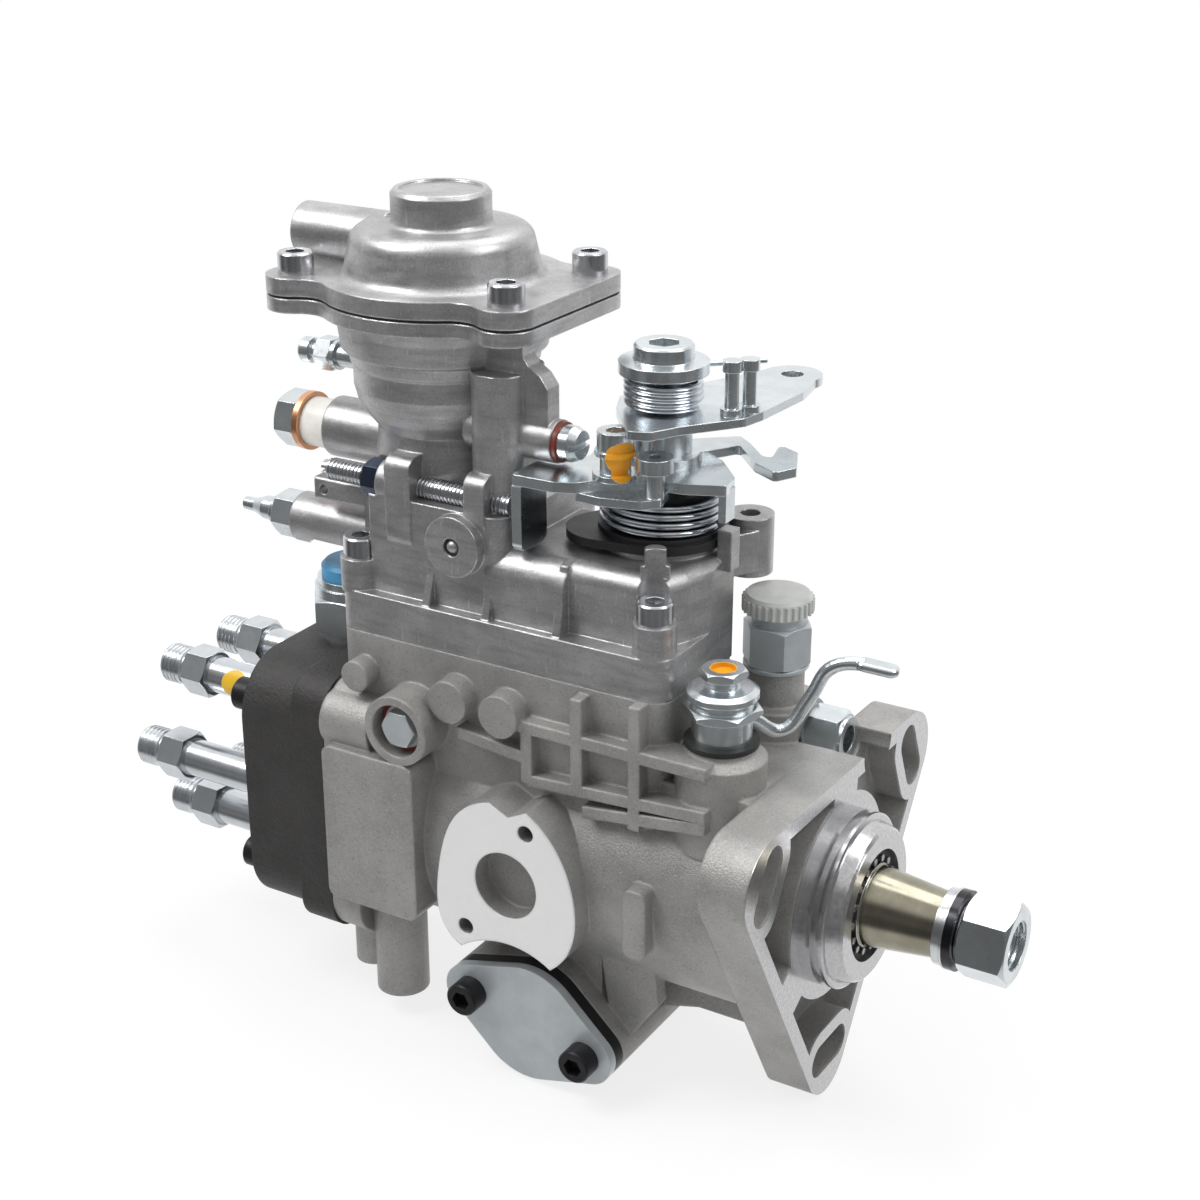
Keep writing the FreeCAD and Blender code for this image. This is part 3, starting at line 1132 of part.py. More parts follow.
def governor_lever():
    """Lever between the governor sleeve and the control collar."""
    front = SLEEVE_NOSE_X - 0.3
    plate = box(front - 3.0, front, -9.0, 9.0, LEVER_PIVOT_Z - 3.0, 64.0)
    rod = bar("y", 3.0, -26.5, 26.5, (LEVER_PIVOT_X, LEVER_PIVOT_Z))
    finger = box(LEVER_PIVOT_X - 1.5, LEVER_PIVOT_X + 1.5, -1.5, 1.5, 9.0, LEVER_PIVOT_Z)
    boss = box(LEVER_PIVOT_X - 2.5, front, -9.0, 9.0, LEVER_PIVOT_Z - 3.0, LEVER_PIVOT_Z + 3.0)
    ball = Part.makeSphere(2.4, V(LEVER_PIVOT_X, 0, 8.0))
    return join(plate, rod, finger, boss, ball)


def control_collar():
    """Collar on the plunger that ends the delivery stroke."""
    body = bar("x", 10.0, LEVER_PIVOT_X - 6.0, LEVER_PIVOT_X + 6.0)
    return body.cut([bar("x", PLUNGER_R + PLUNGER_CLEARANCE, -140.0, -80.0),
                     bar("z", 2.45, 5.4, 11.0, (LEVER_PIVOT_X, 0.0))])


def boost_pin():
    """Guide pin with its control groove and the diaphragm plate."""
    top = BOOST_JOINT_Z - DIAPHRAGM_T / 2.0 - 0.3
    return turned("z", [
        (102.0, 3.0), (104.0, BOOST_PIN_R), (112.0, BOOST_PIN_R), (116.0, 3.0), (121.0, 3.0),
        (124.0, BOOST_PIN_R), (top - 4.0, BOOST_PIN_R), (top - 1.6, 15.0), (top, 15.0)], (BOOST_X, 0.0))


def diaphragm():
    """Rubber diaphragm clamped between the boost flanges."""
    half = DIAPHRAGM_T / 2.0
    plate = boost_outline(BOOST_JOINT_Z - half, BOOST_JOINT_Z + half, -0.4)
    return plate.cut([bar("z", M6_R, BOOST_JOINT_Z - 1, BOOST_JOINT_Z + 1, xy) for xy in boost_screw_places()])


def boost_nipple():
    """Small vent union on the side of the boost chamber."""
    at = (NIPPLE_Y, NIPPLE_Z)
    low = NIPPLE_X
    return join(
        turned("x", [(low, 3.0), (low + 1.0, 3.8), (low + 4.0, 3.8), (low + 5.0, 2.6), (low + 7.0, 2.6)], at),
        hex_nut("x", 9.0, low + 7.0, low + 12.5, at), bar("x", 4.4, low + 12.5, low + 14.0, at),
        bar("x", 3.4, low + 14.0, low + 26.0, at))


def pivot_bolt():
    """Bolt that carries the control lever inside the boost housing."""
    at = (PIVOT_BOLT_Y, PIVOT_BOLT_Z)
    seat = PIVOT_WASHER_X
    head = hex_nut("x", 15.0, seat - 7.5, seat, at, 12.0)
    return join(head, bar("x", 5.0, seat, seat + 30.0, at))


def full_load_screw():
    """Adjusting screw with a pointed end and its lock nut."""
    at = (FULL_LOAD_Y, FULL_LOAD_Z)
    return join(
        turned("x", [(-201.0, 0.9), (-200.0, 2.0), (-196.0, 2.2), (-192.0, 3.6), (-188.0, 3.8),
                     (-188.0, 4.6), (-185.6, 4.8)], at),
        hex_nut("x", 12.5, -185.6, FULL_LOAD_SEAT_X, at, 8.0), bar("x", 4.0, FULL_LOAD_SEAT_X, -160.0, at))


def stop_screw():
    """Idle stop screw through the cover lugs."""
    at = (STOP_SCREW_Y, STOP_SCREW_Z)
    body = join(bar("x", STOP_SCREW_R, -154.5, -92.5, at), bar("x", 2.2, -156.5, -154.5, at))
    return body.cut(box(-157.0, -154.0, -30.0, 0.0, STOP_SCREW_Z - 0.5, STOP_SCREW_Z + 0.5))


def stop_screw_nut():
    """Lock nut of the idle stop screw."""
    at = (STOP_SCREW_Y, STOP_SCREW_Z)
    nut = hex_nut("x", 10.0, LUG_BACK_X - 6.0, LUG_BACK_X, at, 10.0)
    return nut.cut(bar("x", STOP_SCREW_R, LUG_BACK_X - 7.0, LUG_BACK_X + 1, at))


def stop_solenoid():
    """Fuel shut-off solenoid screwed into the head."""
    at = (SOLENOID_X, SOLENOID_Y)
    return join(
        bar("z", 10.0, HEAD_TOP_Z - 6.0, HEAD_TOP_Z, at),
        bar("z", 11.0, HEAD_TOP_Z, HEAD_TOP_Z + 3.0, at),
        hex_nut("z", 24.0, HEAD_TOP_Z + 3.0, SOLENOID_TOP_Z - 5.4, at, 8.0),
        bar("z", 11.8, SOLENOID_TOP_Z - 5.4, SOLENOID_TOP_Z - 2.4, at),
        bar("z", 10.9, SOLENOID_TOP_Z - 2.4, SOLENOID_TOP_Z, at))


def solenoid_cap():
    """Plastic terminal cap on the solenoid."""
    at = (SOLENOID_X, SOLENOID_Y)
    low = SOLENOID_TOP_Z
    return turned("z", [(low, 9.6), (low + 3.4, 9.6), (low + 4.6, 8.4)], at)


def overflow_valve():
    """Pressure valve with a wide hexagon on the deck."""
    at = OVERFLOW_AT
    return join(
        bar("z", PORT_BORE_R, DECK_Z - 8.0, OVERFLOW_SEAT_Z, at),
        bar("z", 9.4, OVERFLOW_SEAT_Z, OVERFLOW_HEX_Z, at),
        hex_nut("z", 17.4, OVERFLOW_HEX_Z, OVERFLOW_HEX_Z + OVERFLOW_HEX_L, at, 8.0),
        bar("z", 7.3, OVERFLOW_HEX_Z + OVERFLOW_HEX_L, OVERFLOW_CAP_Z, at))


def overflow_cap():
    """Knurled cap on the pressure valve."""
    at = OVERFLOW_AT
    low = OVERFLOW_CAP_Z
    body = turned("z", [(low, CAP_R - 0.5), (low + 0.5, CAP_R), (low + 4.6, CAP_R), (low + 5.6, CAP_R - 0.7)], at)
    ribs = []
    for step in range(CAP_RIBS):
        angle = 2 * math.pi * step / CAP_RIBS
        spot = (at[0] + CAP_R * math.cos(angle), at[1] + CAP_R * math.sin(angle))
        ribs.append(bar("z", KNURL_R, low + 0.5, low + 4.4, spot))
    return join(body, *ribs)


def inlet_union():
    """Banjo body of the fuel inlet."""
    at = INLET_AT
    low = INLET_SEAT_Z + SEAL_RING_T
    return join(
        bar("z", INLET_BAND_R, low, low + 7.1, at),
        hex_nut("z", INLET_HEX_AF, low + 7.1, low + 9.8, at, 19.0),
        bar("z", INLET_BAND_R, low + 9.8, INLET_HEAD_Z, at))


def inlet_bolt():
    """Hollow screw that holds the inlet union."""
    at = INLET_AT
    low = INLET_HEAD_Z
    body = turned("z", [
        (low, 9.4), (low + 0.4, 9.8), (low + 1.9, 9.8), (low + 2.9, 8.3), (low + 3.1, INLET_NECK_R),
        (low + 6.0, INLET_NECK_R)], at)
    body = join(body, hex_nut("z", 11.5, low + 5.6, low + 8.2, at, 20.0))
    return body.cut(bar("z", 3.3, low + 7.0, low + 9.0, at))


def inlet_pipe():
    """Bent return pipe with a flattened end."""
    path = Part.BSplineCurve()
    path.interpolate([V(*point) for point in PIPE_POINTS])
    points = path.discretize(PIPE_STEPS)
    pipe = swept(points, PIPE_R, 16)
    flat = round_corners(box(-2.5, PIPE_TIP_L, -2.9, 2.9, -1.3, 1.3), 2.6, V(0, 0, 1))
    flat = round_corners(flat, 1.1, V(1, 0, 0))
    flat.rotate(V(0, 0, 0), V(0, 1, 0), 7.0)
    flat.rotate(V(0, 0, 0), V(0, 0, 1), 14.0)
    flat.translate(points[-1])
    return join(pipe, flat).cut(bar("z", INLET_BAND_R, INLET_SEAT_Z, INLET_HEAD_Z, INLET_AT))


def outlet_union():
    """Return union that faces the drive end."""
    at = (OUTLET_Y, OUTLET_Z)
    body = join(
        bar("x", 9.2, OUTLET_X - 13.5, OUTLET_X - 11.5, at), hex_nut("x", 14.0, OUTLET_X - 11.5, OUTLET_X - 1.0, at, 6.0),
        bar("x", 6.4, OUTLET_X - 1.2, OUTLET_X, at))
    return body.cut(bar("x", 3.9, OUTLET_X - 10.0, OUTLET_X + 1, at))


def inspection_bolt():
    """Sunk bolt behind the side inspection port."""
    at = (INSPECTION_X, INSPECTION_Z)
    body = bar("y", 6.6, INSPECTION_FLOOR_Y - 2.0, INSPECTION_FLOOR_Y, at)
    return join(body, hex_nut("y", 10.0, INSPECTION_FLOOR_Y - 5.5, INSPECTION_FLOOR_Y - 2.0, at))


def slotted_plug():
    """Slotted plug at the drive side of the boost housing."""
    at = (PLUG_Y, PLUG_Z)
    body = turned("x", [(PLUG_X - 3.0, 5.0), (PLUG_X, 5.0), (PLUG_X + 2.4, 4.0)], at)
    return body.cut(box(PLUG_X + 0.6, PLUG_X + 3.0, PLUG_Y - 7, PLUG_Y + 7, PLUG_Z - 0.8, PLUG_Z + 0.8))


def seal_rings():
    """Rubber rings under the fittings."""
    return group([
        tube("z", INLET_SEAT_R + 0.4, PORT_BORE_R, INLET_SEAT_Z, INLET_SEAT_Z + SEAL_RING_T, INLET_AT),
        bar("x", 5.6, PLUG_X - 4.4, PLUG_X - 3.0, (PLUG_Y, PLUG_Z)),
        tube("y", 7.9, 6.6, INSPECTION_FLOOR_Y - 1.5, INSPECTION_FLOOR_Y, (INSPECTION_X, INSPECTION_Z)),
    ])


def boost_screw_places():
    """Centres of the four boost cover screws."""
    return [(BOOST_X + sx * BOOST_SCREW_X, sy * BOOST_SCREW_Y) for sx in (-1, 1) for sy in (-1, 1)]


def head_screw_places():
    """Centres of the four head screws in the YZ plane."""
    return [(sy * (HEAD_HALF_W - 7.0), z) for sy in (-1, 1) for z in (HEAD_LOW_Z + 16.0, HEAD_TOP_Z - 13.0)]


def timing_stack(offset, thickness):
    """Front and rear plates of the timing device at a distance from its faces."""
    inner = TIMING_FACE_Y + offset
    holes = [bar("y", M6_R, -inner - 9, inner + 9, xz) for xz in timing_screw_places()]
    return group([timing_outline(-inner - thickness, -inner).cut(holes),
                  timing_outline(inner, inner + thickness).cut(holes)])


def timing_screws():
    """Screws of the front and rear timing covers."""
    face = TIMING_FACE_Y + TIMING_SPACER_T + TIMING_PLATE_T
    tip = TIMING_FACE_Y - 8.0
    return group(cap_screw("y", side * face, side * tip, xz) for side in (-1, 1) for xz in timing_screw_places())


def build():
    """All sub-parts by name."""
    lever_at = (LEVER_X, LEVER_Y)
    pivot_at = (PIVOT_BOLT_Y, PIVOT_BOLT_Z)
    boost_top = BOOST_JOINT_Z + BOOST_LAYER_T
    head_end = HEAD_JOINT_X - HEAD_L
    return {
        "pump_housing": pump_housing(),
        "distributor_head": distributor_head(),
        "delivery_valve_holders": group(
            delivery_valve_holder(polar(HOLDER_PCD_R, 360.0 / HOLDER_COUNT * step))
            for step in range(HOLDER_COUNT)),
        "head_plug": hex_nut("x", HEAD_PLUG_AF, head_end - HEAD_PLUG_L, head_end, (0, 0)),
        "head_screws": group(cap_screw("x", head_end, HEAD_JOINT_X + 6.0, yz) for yz in head_screw_places()),
        "governor_cover": governor_cover(),
        "cover_screws": group(cap_screw("z", SCREW_BOSS_TOP_Z, JOINT_Z - 8, xy) for xy in cover_screw_places()),
        "timing_spacers": timing_stack(0.0, TIMING_SPACER_T),
        "timing_covers": timing_stack(TIMING_SPACER_T, TIMING_PLATE_T),
        "timing_cover_screws": timing_screws(),
        "boost_diaphragm": diaphragm(),
        "boost_cover": boost_cover(),
        "boost_screws": group(cap_screw("z", boost_top, boost_top - 9.0, xy) for xy in boost_screw_places()),
        "boost_nipple": boost_nipple(),
        "boost_pin": boost_pin(),
        "pivot_bolt": pivot_bolt(),
        "copper_washer": tube("x", 8.8, 5.0, PIVOT_WASHER_X, PIVOT_WASHER_X + WASHER_T, pivot_at),
        "nylon_sleeve": tube("x", 7.4, 5.0, PIVOT_WASHER_X + WASHER_T, PIVOT_SEAT_X, pivot_at),
        "slotted_plug": slotted_plug(),
        "full_load_screw": full_load_screw(),
        "stop_screw": stop_screw(),
        "stop_screw_nut": stop_screw_nut(),
        "stop_solenoid": stop_solenoid(),
        "solenoid_cap": solenoid_cap(),
        "overflow_valve": overflow_valve(),
        "overflow_cap": overflow_cap(),
        "inlet_union": inlet_union(),
        "inlet_bolt": inlet_bolt(),
        "inlet_pipe": inlet_pipe(),
        "outlet_union": outlet_union(),
        "inspection_bolt": inspection_bolt(),
        "seal_rings": seal_rings(),
        "spring_cup": spring_cup(),
        "shaft_bush": tube("x", BUSH_R, SHAFT_R + SHAFT_CLEARANCE, CAVITY_FRONT_X, -6.0),
        "shaft_seal": tube("x", SEAL_BORE_R, SHAFT_R + SHAFT_CLEARANCE, SEAL_BACK_X, SEAL_BACK_X + 6.5),
        "feed_pump_ring": feed_pump_ring(),
        "governor_shaft": governor_shaft(),
        "drive_shaft": drive_shaft(),
        "shaft_washers": shaft_washers(),
        "shaft_nut": shaft_nut(),
        "feed_pump_rotor": feed_pump_rotor(),
        "distributor_plunger": distributor_plunger(),
        "roller_ring": roller_ring(),
        "timing_piston": timing_piston(),
        "governor_cage": governor_cage(),
        "flyweight_1": flyweight(0),
        "flyweight_2": flyweight(1),
        "flyweight_3": flyweight(2),
        "flyweight_4": flyweight(3),
        "governor_sleeve": governor_sleeve(),
        "governor_lever": governor_lever(),
        "control_collar": control_collar(),
        "throttle_shaft": throttle_shaft(),
        "stop_lever": stop_lever(),
        "lever_screw": lever_screw(),
        "return_spring": coil(RETURN_COIL_R, RETURN_WIRE_R, CUP_TOP_Z, LOWER_PLATE_Z, COIL_TURNS, lever_at),
        "upper_lever": upper_lever(),
        "lever_pins": lever_pins(),
        "lever_spring": coil(
            SMALL_COIL_R, SMALL_WIRE_R, UPPER_LEVER_Z + UPPER_LEVER_T + 0.3, CAP_TOP_Z - 9.0, COIL_TURNS,
            lever_at),
        "lever_cap": lever_cap(),
    }


os.makedirs("parts", exist_ok=True)
for name, shape in build().items():
    shape.exportStep("parts/" + name + ".step")
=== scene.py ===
"""Looks of a rotary distributor diesel injection pump with a boost compensator.

The scene dresses the pump's solids with procedural finishes and adds what is
too fine for them: wound springs, screw threads, bearing rollers and paint
marks. All places are in metres, in the frame of the solids.
"""

import json
import logging
import math
from dataclasses import dataclass, field
from enum import Enum
from typing import Any, Iterable

import bpy
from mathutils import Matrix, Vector

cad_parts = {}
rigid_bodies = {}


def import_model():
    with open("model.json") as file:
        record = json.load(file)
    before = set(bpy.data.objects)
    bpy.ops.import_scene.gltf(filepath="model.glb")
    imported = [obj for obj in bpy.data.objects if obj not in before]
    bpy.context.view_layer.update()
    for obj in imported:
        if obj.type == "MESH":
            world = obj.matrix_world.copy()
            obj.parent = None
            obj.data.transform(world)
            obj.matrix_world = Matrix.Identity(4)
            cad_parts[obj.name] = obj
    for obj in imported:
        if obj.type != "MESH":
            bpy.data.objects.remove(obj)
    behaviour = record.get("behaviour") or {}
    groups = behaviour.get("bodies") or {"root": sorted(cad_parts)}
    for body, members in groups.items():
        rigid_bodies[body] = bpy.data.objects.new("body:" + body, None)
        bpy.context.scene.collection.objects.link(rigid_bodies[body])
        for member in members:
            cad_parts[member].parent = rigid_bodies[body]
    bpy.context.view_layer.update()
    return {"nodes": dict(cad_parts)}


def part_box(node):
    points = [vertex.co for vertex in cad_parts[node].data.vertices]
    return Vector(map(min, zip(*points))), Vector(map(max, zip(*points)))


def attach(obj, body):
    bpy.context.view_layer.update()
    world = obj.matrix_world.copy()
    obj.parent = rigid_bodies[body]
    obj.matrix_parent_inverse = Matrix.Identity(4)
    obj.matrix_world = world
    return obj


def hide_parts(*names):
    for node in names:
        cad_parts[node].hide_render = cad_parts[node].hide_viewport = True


log = logging.getLogger("pump")

Colour = tuple[float, float, float]
Point = tuple[float, float, float]
MM = 0.001
FULL_TURN = 2 * math.pi


class Axis(Enum):
    """Axes that a turned shape can lie along."""

    X = "X"
    Y = "Y"
    Z = "Z"


def toned(colour: Colour, factor: float) -> Colour:
    """Colour made lighter or darker by a factor, and at most white."""
    return tuple(min(1.0, part * factor) for part in colour)


class Wire:
    """A shader value that takes part in ordinary arithmetic."""

    def __init__(self, tree: "ShaderTree", socket: bpy.types.NodeSocket) -> None:
        """Keeps the socket and the tree it lies in."""
        self.tree = tree
        self.socket = socket

    def _math(self, operation: str, first: Any, second: Any = None) -> "Wire":
        """Adds one Math node and returns its value."""
        values = {0: first} if second is None else {0: first, 1: second}
        return self.tree.value("ShaderNodeMath", {"operation": operation}, values)

    def __add__(self, other: Any) -> "Wire":
        """Sum."""
        return self._math("ADD", self, other)

    __radd__ = __add__

    def __sub__(self, other: Any) -> "Wire":
        """Difference."""
        return self._math("SUBTRACT", self, other)

    def __rsub__(self, other: Any) -> "Wire":
        """Reflected difference, so that 1 - mask works."""
        return self._math("SUBTRACT", other, self)

    def __mul__(self, other: Any) -> "Wire":
        """Product."""
        return self._math("MULTIPLY", self, other)

    __rmul__ = __mul__

    def root(self) -> "Wire":
        """Square root."""
        return self._math("SQRT", self)

    def magnitude(self) -> "Wire":
        """Absolute value."""
        return self._math("ABSOLUTE", self)

    def sine(self) -> "Wire":
        """Sine of the value in radians."""
        return self._math("SINE", self)

    def greatest(self, other: Any) -> "Wire":
        """Larger of two values."""
        return self._math("MAXIMUM", self, other)

    def ramp(self, low: float, high: float) -> "Wire":
        """Smooth step from 0 at low to 1 at high; low may be above high.

        Args:
            low: Value at which the result is 0.
            high: Value at which the result is 1.

        Returns:
            The mask, from 0 to 1.
        """
        settings = {"interpolation_type": "SMOOTHSTEP", "clamp": True}
        inputs: dict[Any, Any] = {"Value": self, "From Min": low, "From Max": high}
        if low > high:
            inputs = {"Value": self, "From Min": high, "From Max": low, "To Min": 1.0, "To Max": 0.0}
        return self.tree.value("ShaderNodeMapRange", settings, inputs)

    def between(self, low: float, high: float, soft: float) -> "Wire":
        """Mask that is 1 from low to high, with soft flanks outside it."""
        return self.ramp(low - soft, low) * self.ramp(high + soft, high)


class NodeTree:
    """Node tree of any kind, whose nodes all come from one method."""

    def __init__(self, tree: bpy.types.NodeTree) -> None:
        """Keeps the tree, which has no inputs of its own yet."""
        self.tree = tree
        self.given: bpy.types.Node | None = None

    def node(self, kind: str, settings: dict[str, Any], inputs: dict[Any, Any]) -> bpy.types.Node:
        """Adds one node.

        Args:
            kind: Node type.
            settings: Attributes that are set first, such as a Math node's operation.
            inputs: Wires, sockets, plain values or names of the tree's own inputs, each by
                the name or number of the node's input.

        Returns:
            The node.
        """
        made = self.tree.nodes.new(kind)
        for name, setting in settings.items():
            setattr(made, name, setting)
        for key, given in inputs.items():
            if isinstance(given, Wire):
                given = given.socket
            elif isinstance(given, str):
                given = self.given.outputs[given]
            if isinstance(given, bpy.types.NodeSocket):
                self.tree.links.new(given, made.inputs[key])
            else:
                made.inputs[key].default_value = given
        return made


class ShaderTree(NodeTree):
    """Node tree of one material, or of the world."""

    EDGE_STARTS = 0.985
    EDGE_FULL = 0.86
    EDGE_SAMPLES = 6
    SPOT_CORE = 0.55

    def __init__(self, name: str, world: bool = False) -> None:
        """Starts a material or a world with an empty tree."""
        kind = bpy.data.worlds if world else bpy.data.materials
        self.owner = kind.new(name)
        self.owner.use_nodes = True
        super().__init__(self.owner.node_tree)
        self.tree.nodes.clear()
        self._coords: bpy.types.NodeSocket | None = None

    def value(self, kind: str, settings: dict[str, Any], inputs: dict[Any, Any], output: Any = 0) -> Wire:
        """Adds one node and returns one of its outputs as a wire."""
        return Wire(self, self.node(kind, settings, inputs).outputs[output])

    def coords(self) -> bpy.types.NodeSocket:
        """Object coordinates, which are the pump's own frame."""
        if self._coords is None:
            self._coords = self.node("ShaderNodeTexCoord", {}, {}).outputs["Object"]
        return self._coords

    def split(self, vector: Any = None) -> tuple[Wire, Wire, Wire]:
        """Components of a vector, or of the object coordinates."""
        made = self.node("ShaderNodeSeparateXYZ", {}, {0: vector or self.coords()})
        return Wire(self, made.outputs[0]), Wire(self, made.outputs[1]), Wire(self, made.outputs[2])

    def scaled(self, scale: Point) -> bpy.types.NodeSocket:
        """Object coordinates stretched along each axis."""
        return self.node("ShaderNodeMapping", {}, {"Vector": self.coords(), "Scale": scale}).outputs[0]

    def noise(self, scale: float, detail: float = 3.0, rough: float = 0.55, vector: Any = None) -> Wire:
        """Noise from 0 to 1 over the piece.

        Args:
            scale: Cells per metre.
            detail: Octaves.
            rough: Weight of the finer octaves.
            vector: Coordinates, or None for object coordinates.

        Returns:
            The noise value.
        """
        return self.value("ShaderNodeTexNoise", {}, {
            "Vector": vector or self.coords(), "Scale": scale, "Detail": detail, "Roughness": rough})

    def streaks(self, stretch: Point, detail: float = 2.0, rough: float = 0.5) -> Wire:
        """Noise drawn out into lines by its cells per metre along each axis."""
        return self.noise(1.0, detail, rough, self.scaled(stretch))

    def blend(self, mask: Any, first: Any, second: Any) -> Wire:
        """Colour that goes from the first to the second as the mask rises."""
        ends = [given if isinstance(given, Wire) else (*given, 1.0) for given in (first, second)]
        return self.value(
            "ShaderNodeMix", {"data_type": "RGBA"}, {"Factor": mask, 6: ends[0], 7: ends[1]}, 2)

    def level(self, mask: Any, first: Any, second: Any) -> Wire:
        """Number that goes from the first to the second as the mask rises."""
        return self.value("ShaderNodeMix", {"data_type": "FLOAT"}, {"Factor": mask, 2: first, 3: second})

    def spot(self, centre: Point, radius: float) -> Wire:
        """Mask that fades from 1 near a point to 0 at a distance from it."""
        away = self.value(
            "ShaderNodeVectorMath", {"operation": "DISTANCE"}, {0: self.coords(), 1: centre}, "Value")
        return away.ramp(radius, radius * self.SPOT_CORE)

    def radius_about(self, axis: Axis, a: float, b: float) -> Wire:
        """Distance from a line along an axis, given by its two other coordinates."""
        x, y, z = self.split()
        first, second = {Axis.X: (y, z), Axis.Y: (x, z), Axis.Z: (x, y)}[axis]
        da, db = first - a, second - b
        return (da * da + db * db).root()

    def soft_edges(self, radius: float) -> tuple[bpy.types.NodeSocket, Wire]:
        """Normal of rounded edges and a mask of where they are.

        Args:
            radius: Edge radius in metres.

        Returns:
            The rounded normal and the edge mask.
        """
        bent = self.node("ShaderNodeBevel", {"samples": self.EDGE_SAMPLES}, {"Radius": radius}).outputs[0]
        plain = self.node("ShaderNodeNewGeometry", {}, {}).outputs["Normal"]
        same = self.value("ShaderNodeVectorMath", {"operation": "DOT_PRODUCT"}, {0: bent, 1: plain}, "Value")
        return bent, same.ramp(self.EDGE_STARTS, self.EDGE_FULL)

    def bump(self, height: Wire, distance: float, normal: Any = None) -> bpy.types.NodeSocket:
        """Normal bent by a height pattern of the given depth."""
        inputs: dict[Any, Any] = {"Height": height, "Strength": 1.0, "Distance": distance}
        if normal is not None:
            inputs["Normal"] = normal
        return self.node("ShaderNodeBump", {}, inputs).outputs[0]

    def finish(self, colour: Wire, rough: Any, metallic: Any, normal: Any) -> bpy.types.Material:
        """Closes the tree with a Principled surface and returns the material."""
        surface = self.node("ShaderNodeBsdfPrincipled", {}, {
            "Base Color": colour, "Roughness": rough, "Metallic": metallic, "Normal": normal})
        self.node("ShaderNodeOutputMaterial", {}, {"Surface": surface.outputs[0]})
        return self.owner


@dataclass(frozen=True)
class Finish:
    """Plain finish with a faint change of tone.

    Scales of patterns are in cells per metre.
    """

    name: str
    colour: Colour
    roughness: float
    metallic: float = 0.0
    tone: float = 0.12
    tone_scale: float = 90.0
    rough_scale: float = 240.0
    rough_swing: float = 0.16
    edge_mm: float = 0.3

    def material(self) -> bpy.types.Material:
        """Builds the material."""
        tree = ShaderTree(self.name)
        normal, _ = tree.soft_edges(self.edge_mm * MM)
        clouds = tree.noise(self.rough_scale, detail=4.0)
        rough = clouds * self.rough_swing + (self.roughness - self.rough_swing / 2)
        return tree.finish(self.tinted(tree, self.colour), rough, self.metallic, normal)

    def tinted(self, tree: ShaderTree, colour: Colour) -> Wire:
        """Colour with cloudy lighter and darker places."""
        clouds = tree.noise(self.tone_scale, detail=5.0, rough=0.6).ramp(0.32, 0.68)
        return tree.blend(clouds, toned(colour, 1.0 - self.tone), toned(colour, 1.0 + self.tone))


@dataclass(frozen=True)
class PlatedSteel(Finish):
    """Bright plated steel with fine scratches, cloudy shine, dabs of paint and a painted highlight along
    every edge.
    """

    metallic: float = 1.0
    tone: float = 0.06
    tone_scale: float = 120.0
    rough_scale: float = 160.0
    rough_swing: float = 0.12
    rough_drop: float = 0.07
    scratch: Point = (300.0, 300.0, 2600.0)
    scratch_rough: float = 0.05
    scratch_share: float = 0.4
    skin_scale: float = 900.0
    depth: float = 0.007 * MM
    # Painted highlight on the edges: how much lighter the colour is there, and how much of it is laid on.
    edge_highlight: float = 1.18
    edge_highlight_share: float = 0.7
    paint: tuple[tuple[Point, float], ...] = ()
    paint_colour: Colour = (0.80, 0.36, 0.010)
    paint_rough: float = 0.38

    def material(self) -> bpy.types.Material:
        """Builds the material."""
        tree = ShaderTree(self.name)
        normal, edge = tree.soft_edges(self.edge_mm * MM)
        lines = tree.streaks(self.scratch)
        clouds = tree.noise(self.rough_scale, detail=4.0, rough=0.6)
        # Painted highlight: a lighter copy of the colour is laid along every rounded edge.
        bright = toned(self.colour, self.edge_highlight)
        base = tree.blend(edge * self.edge_highlight_share, self.tinted(tree, self.colour), bright)
        rough: Any = clouds * self.rough_swing + (self.roughness - self.rough_drop)
        rough = rough + lines * self.scratch_rough
        metallic: Any = self.metallic
        if self.paint:
            mask = self.paint_mask(tree)
            base = tree.blend(mask, base, self.paint_colour)
            rough = tree.level(mask, rough, self.paint_rough)
            metallic = tree.level(mask, self.metallic, 0.0)
        skin = tree.noise(self.skin_scale, detail=2.0)
        height = lines * self.scratch_share + skin * (1.0 - self.scratch_share)
        return tree.finish(base, rough, metallic, tree.bump(height, self.depth, normal))

    def paint_mask(self, tree: ShaderTree) -> Wire:
        """Mask of the dabbed marks, with ragged rims."""
        ragged = tree.noise(480.0, detail=4.0, rough=0.65) * 1.1 + 0.45
        spots = [tree.spot(centre, radius) for centre, radius in self.paint]
        mask = spots[0]
        for spot in spots[1:]:
            mask = mask.greatest(spot)
        return (mask * ragged).ramp(0.42, 0.55)


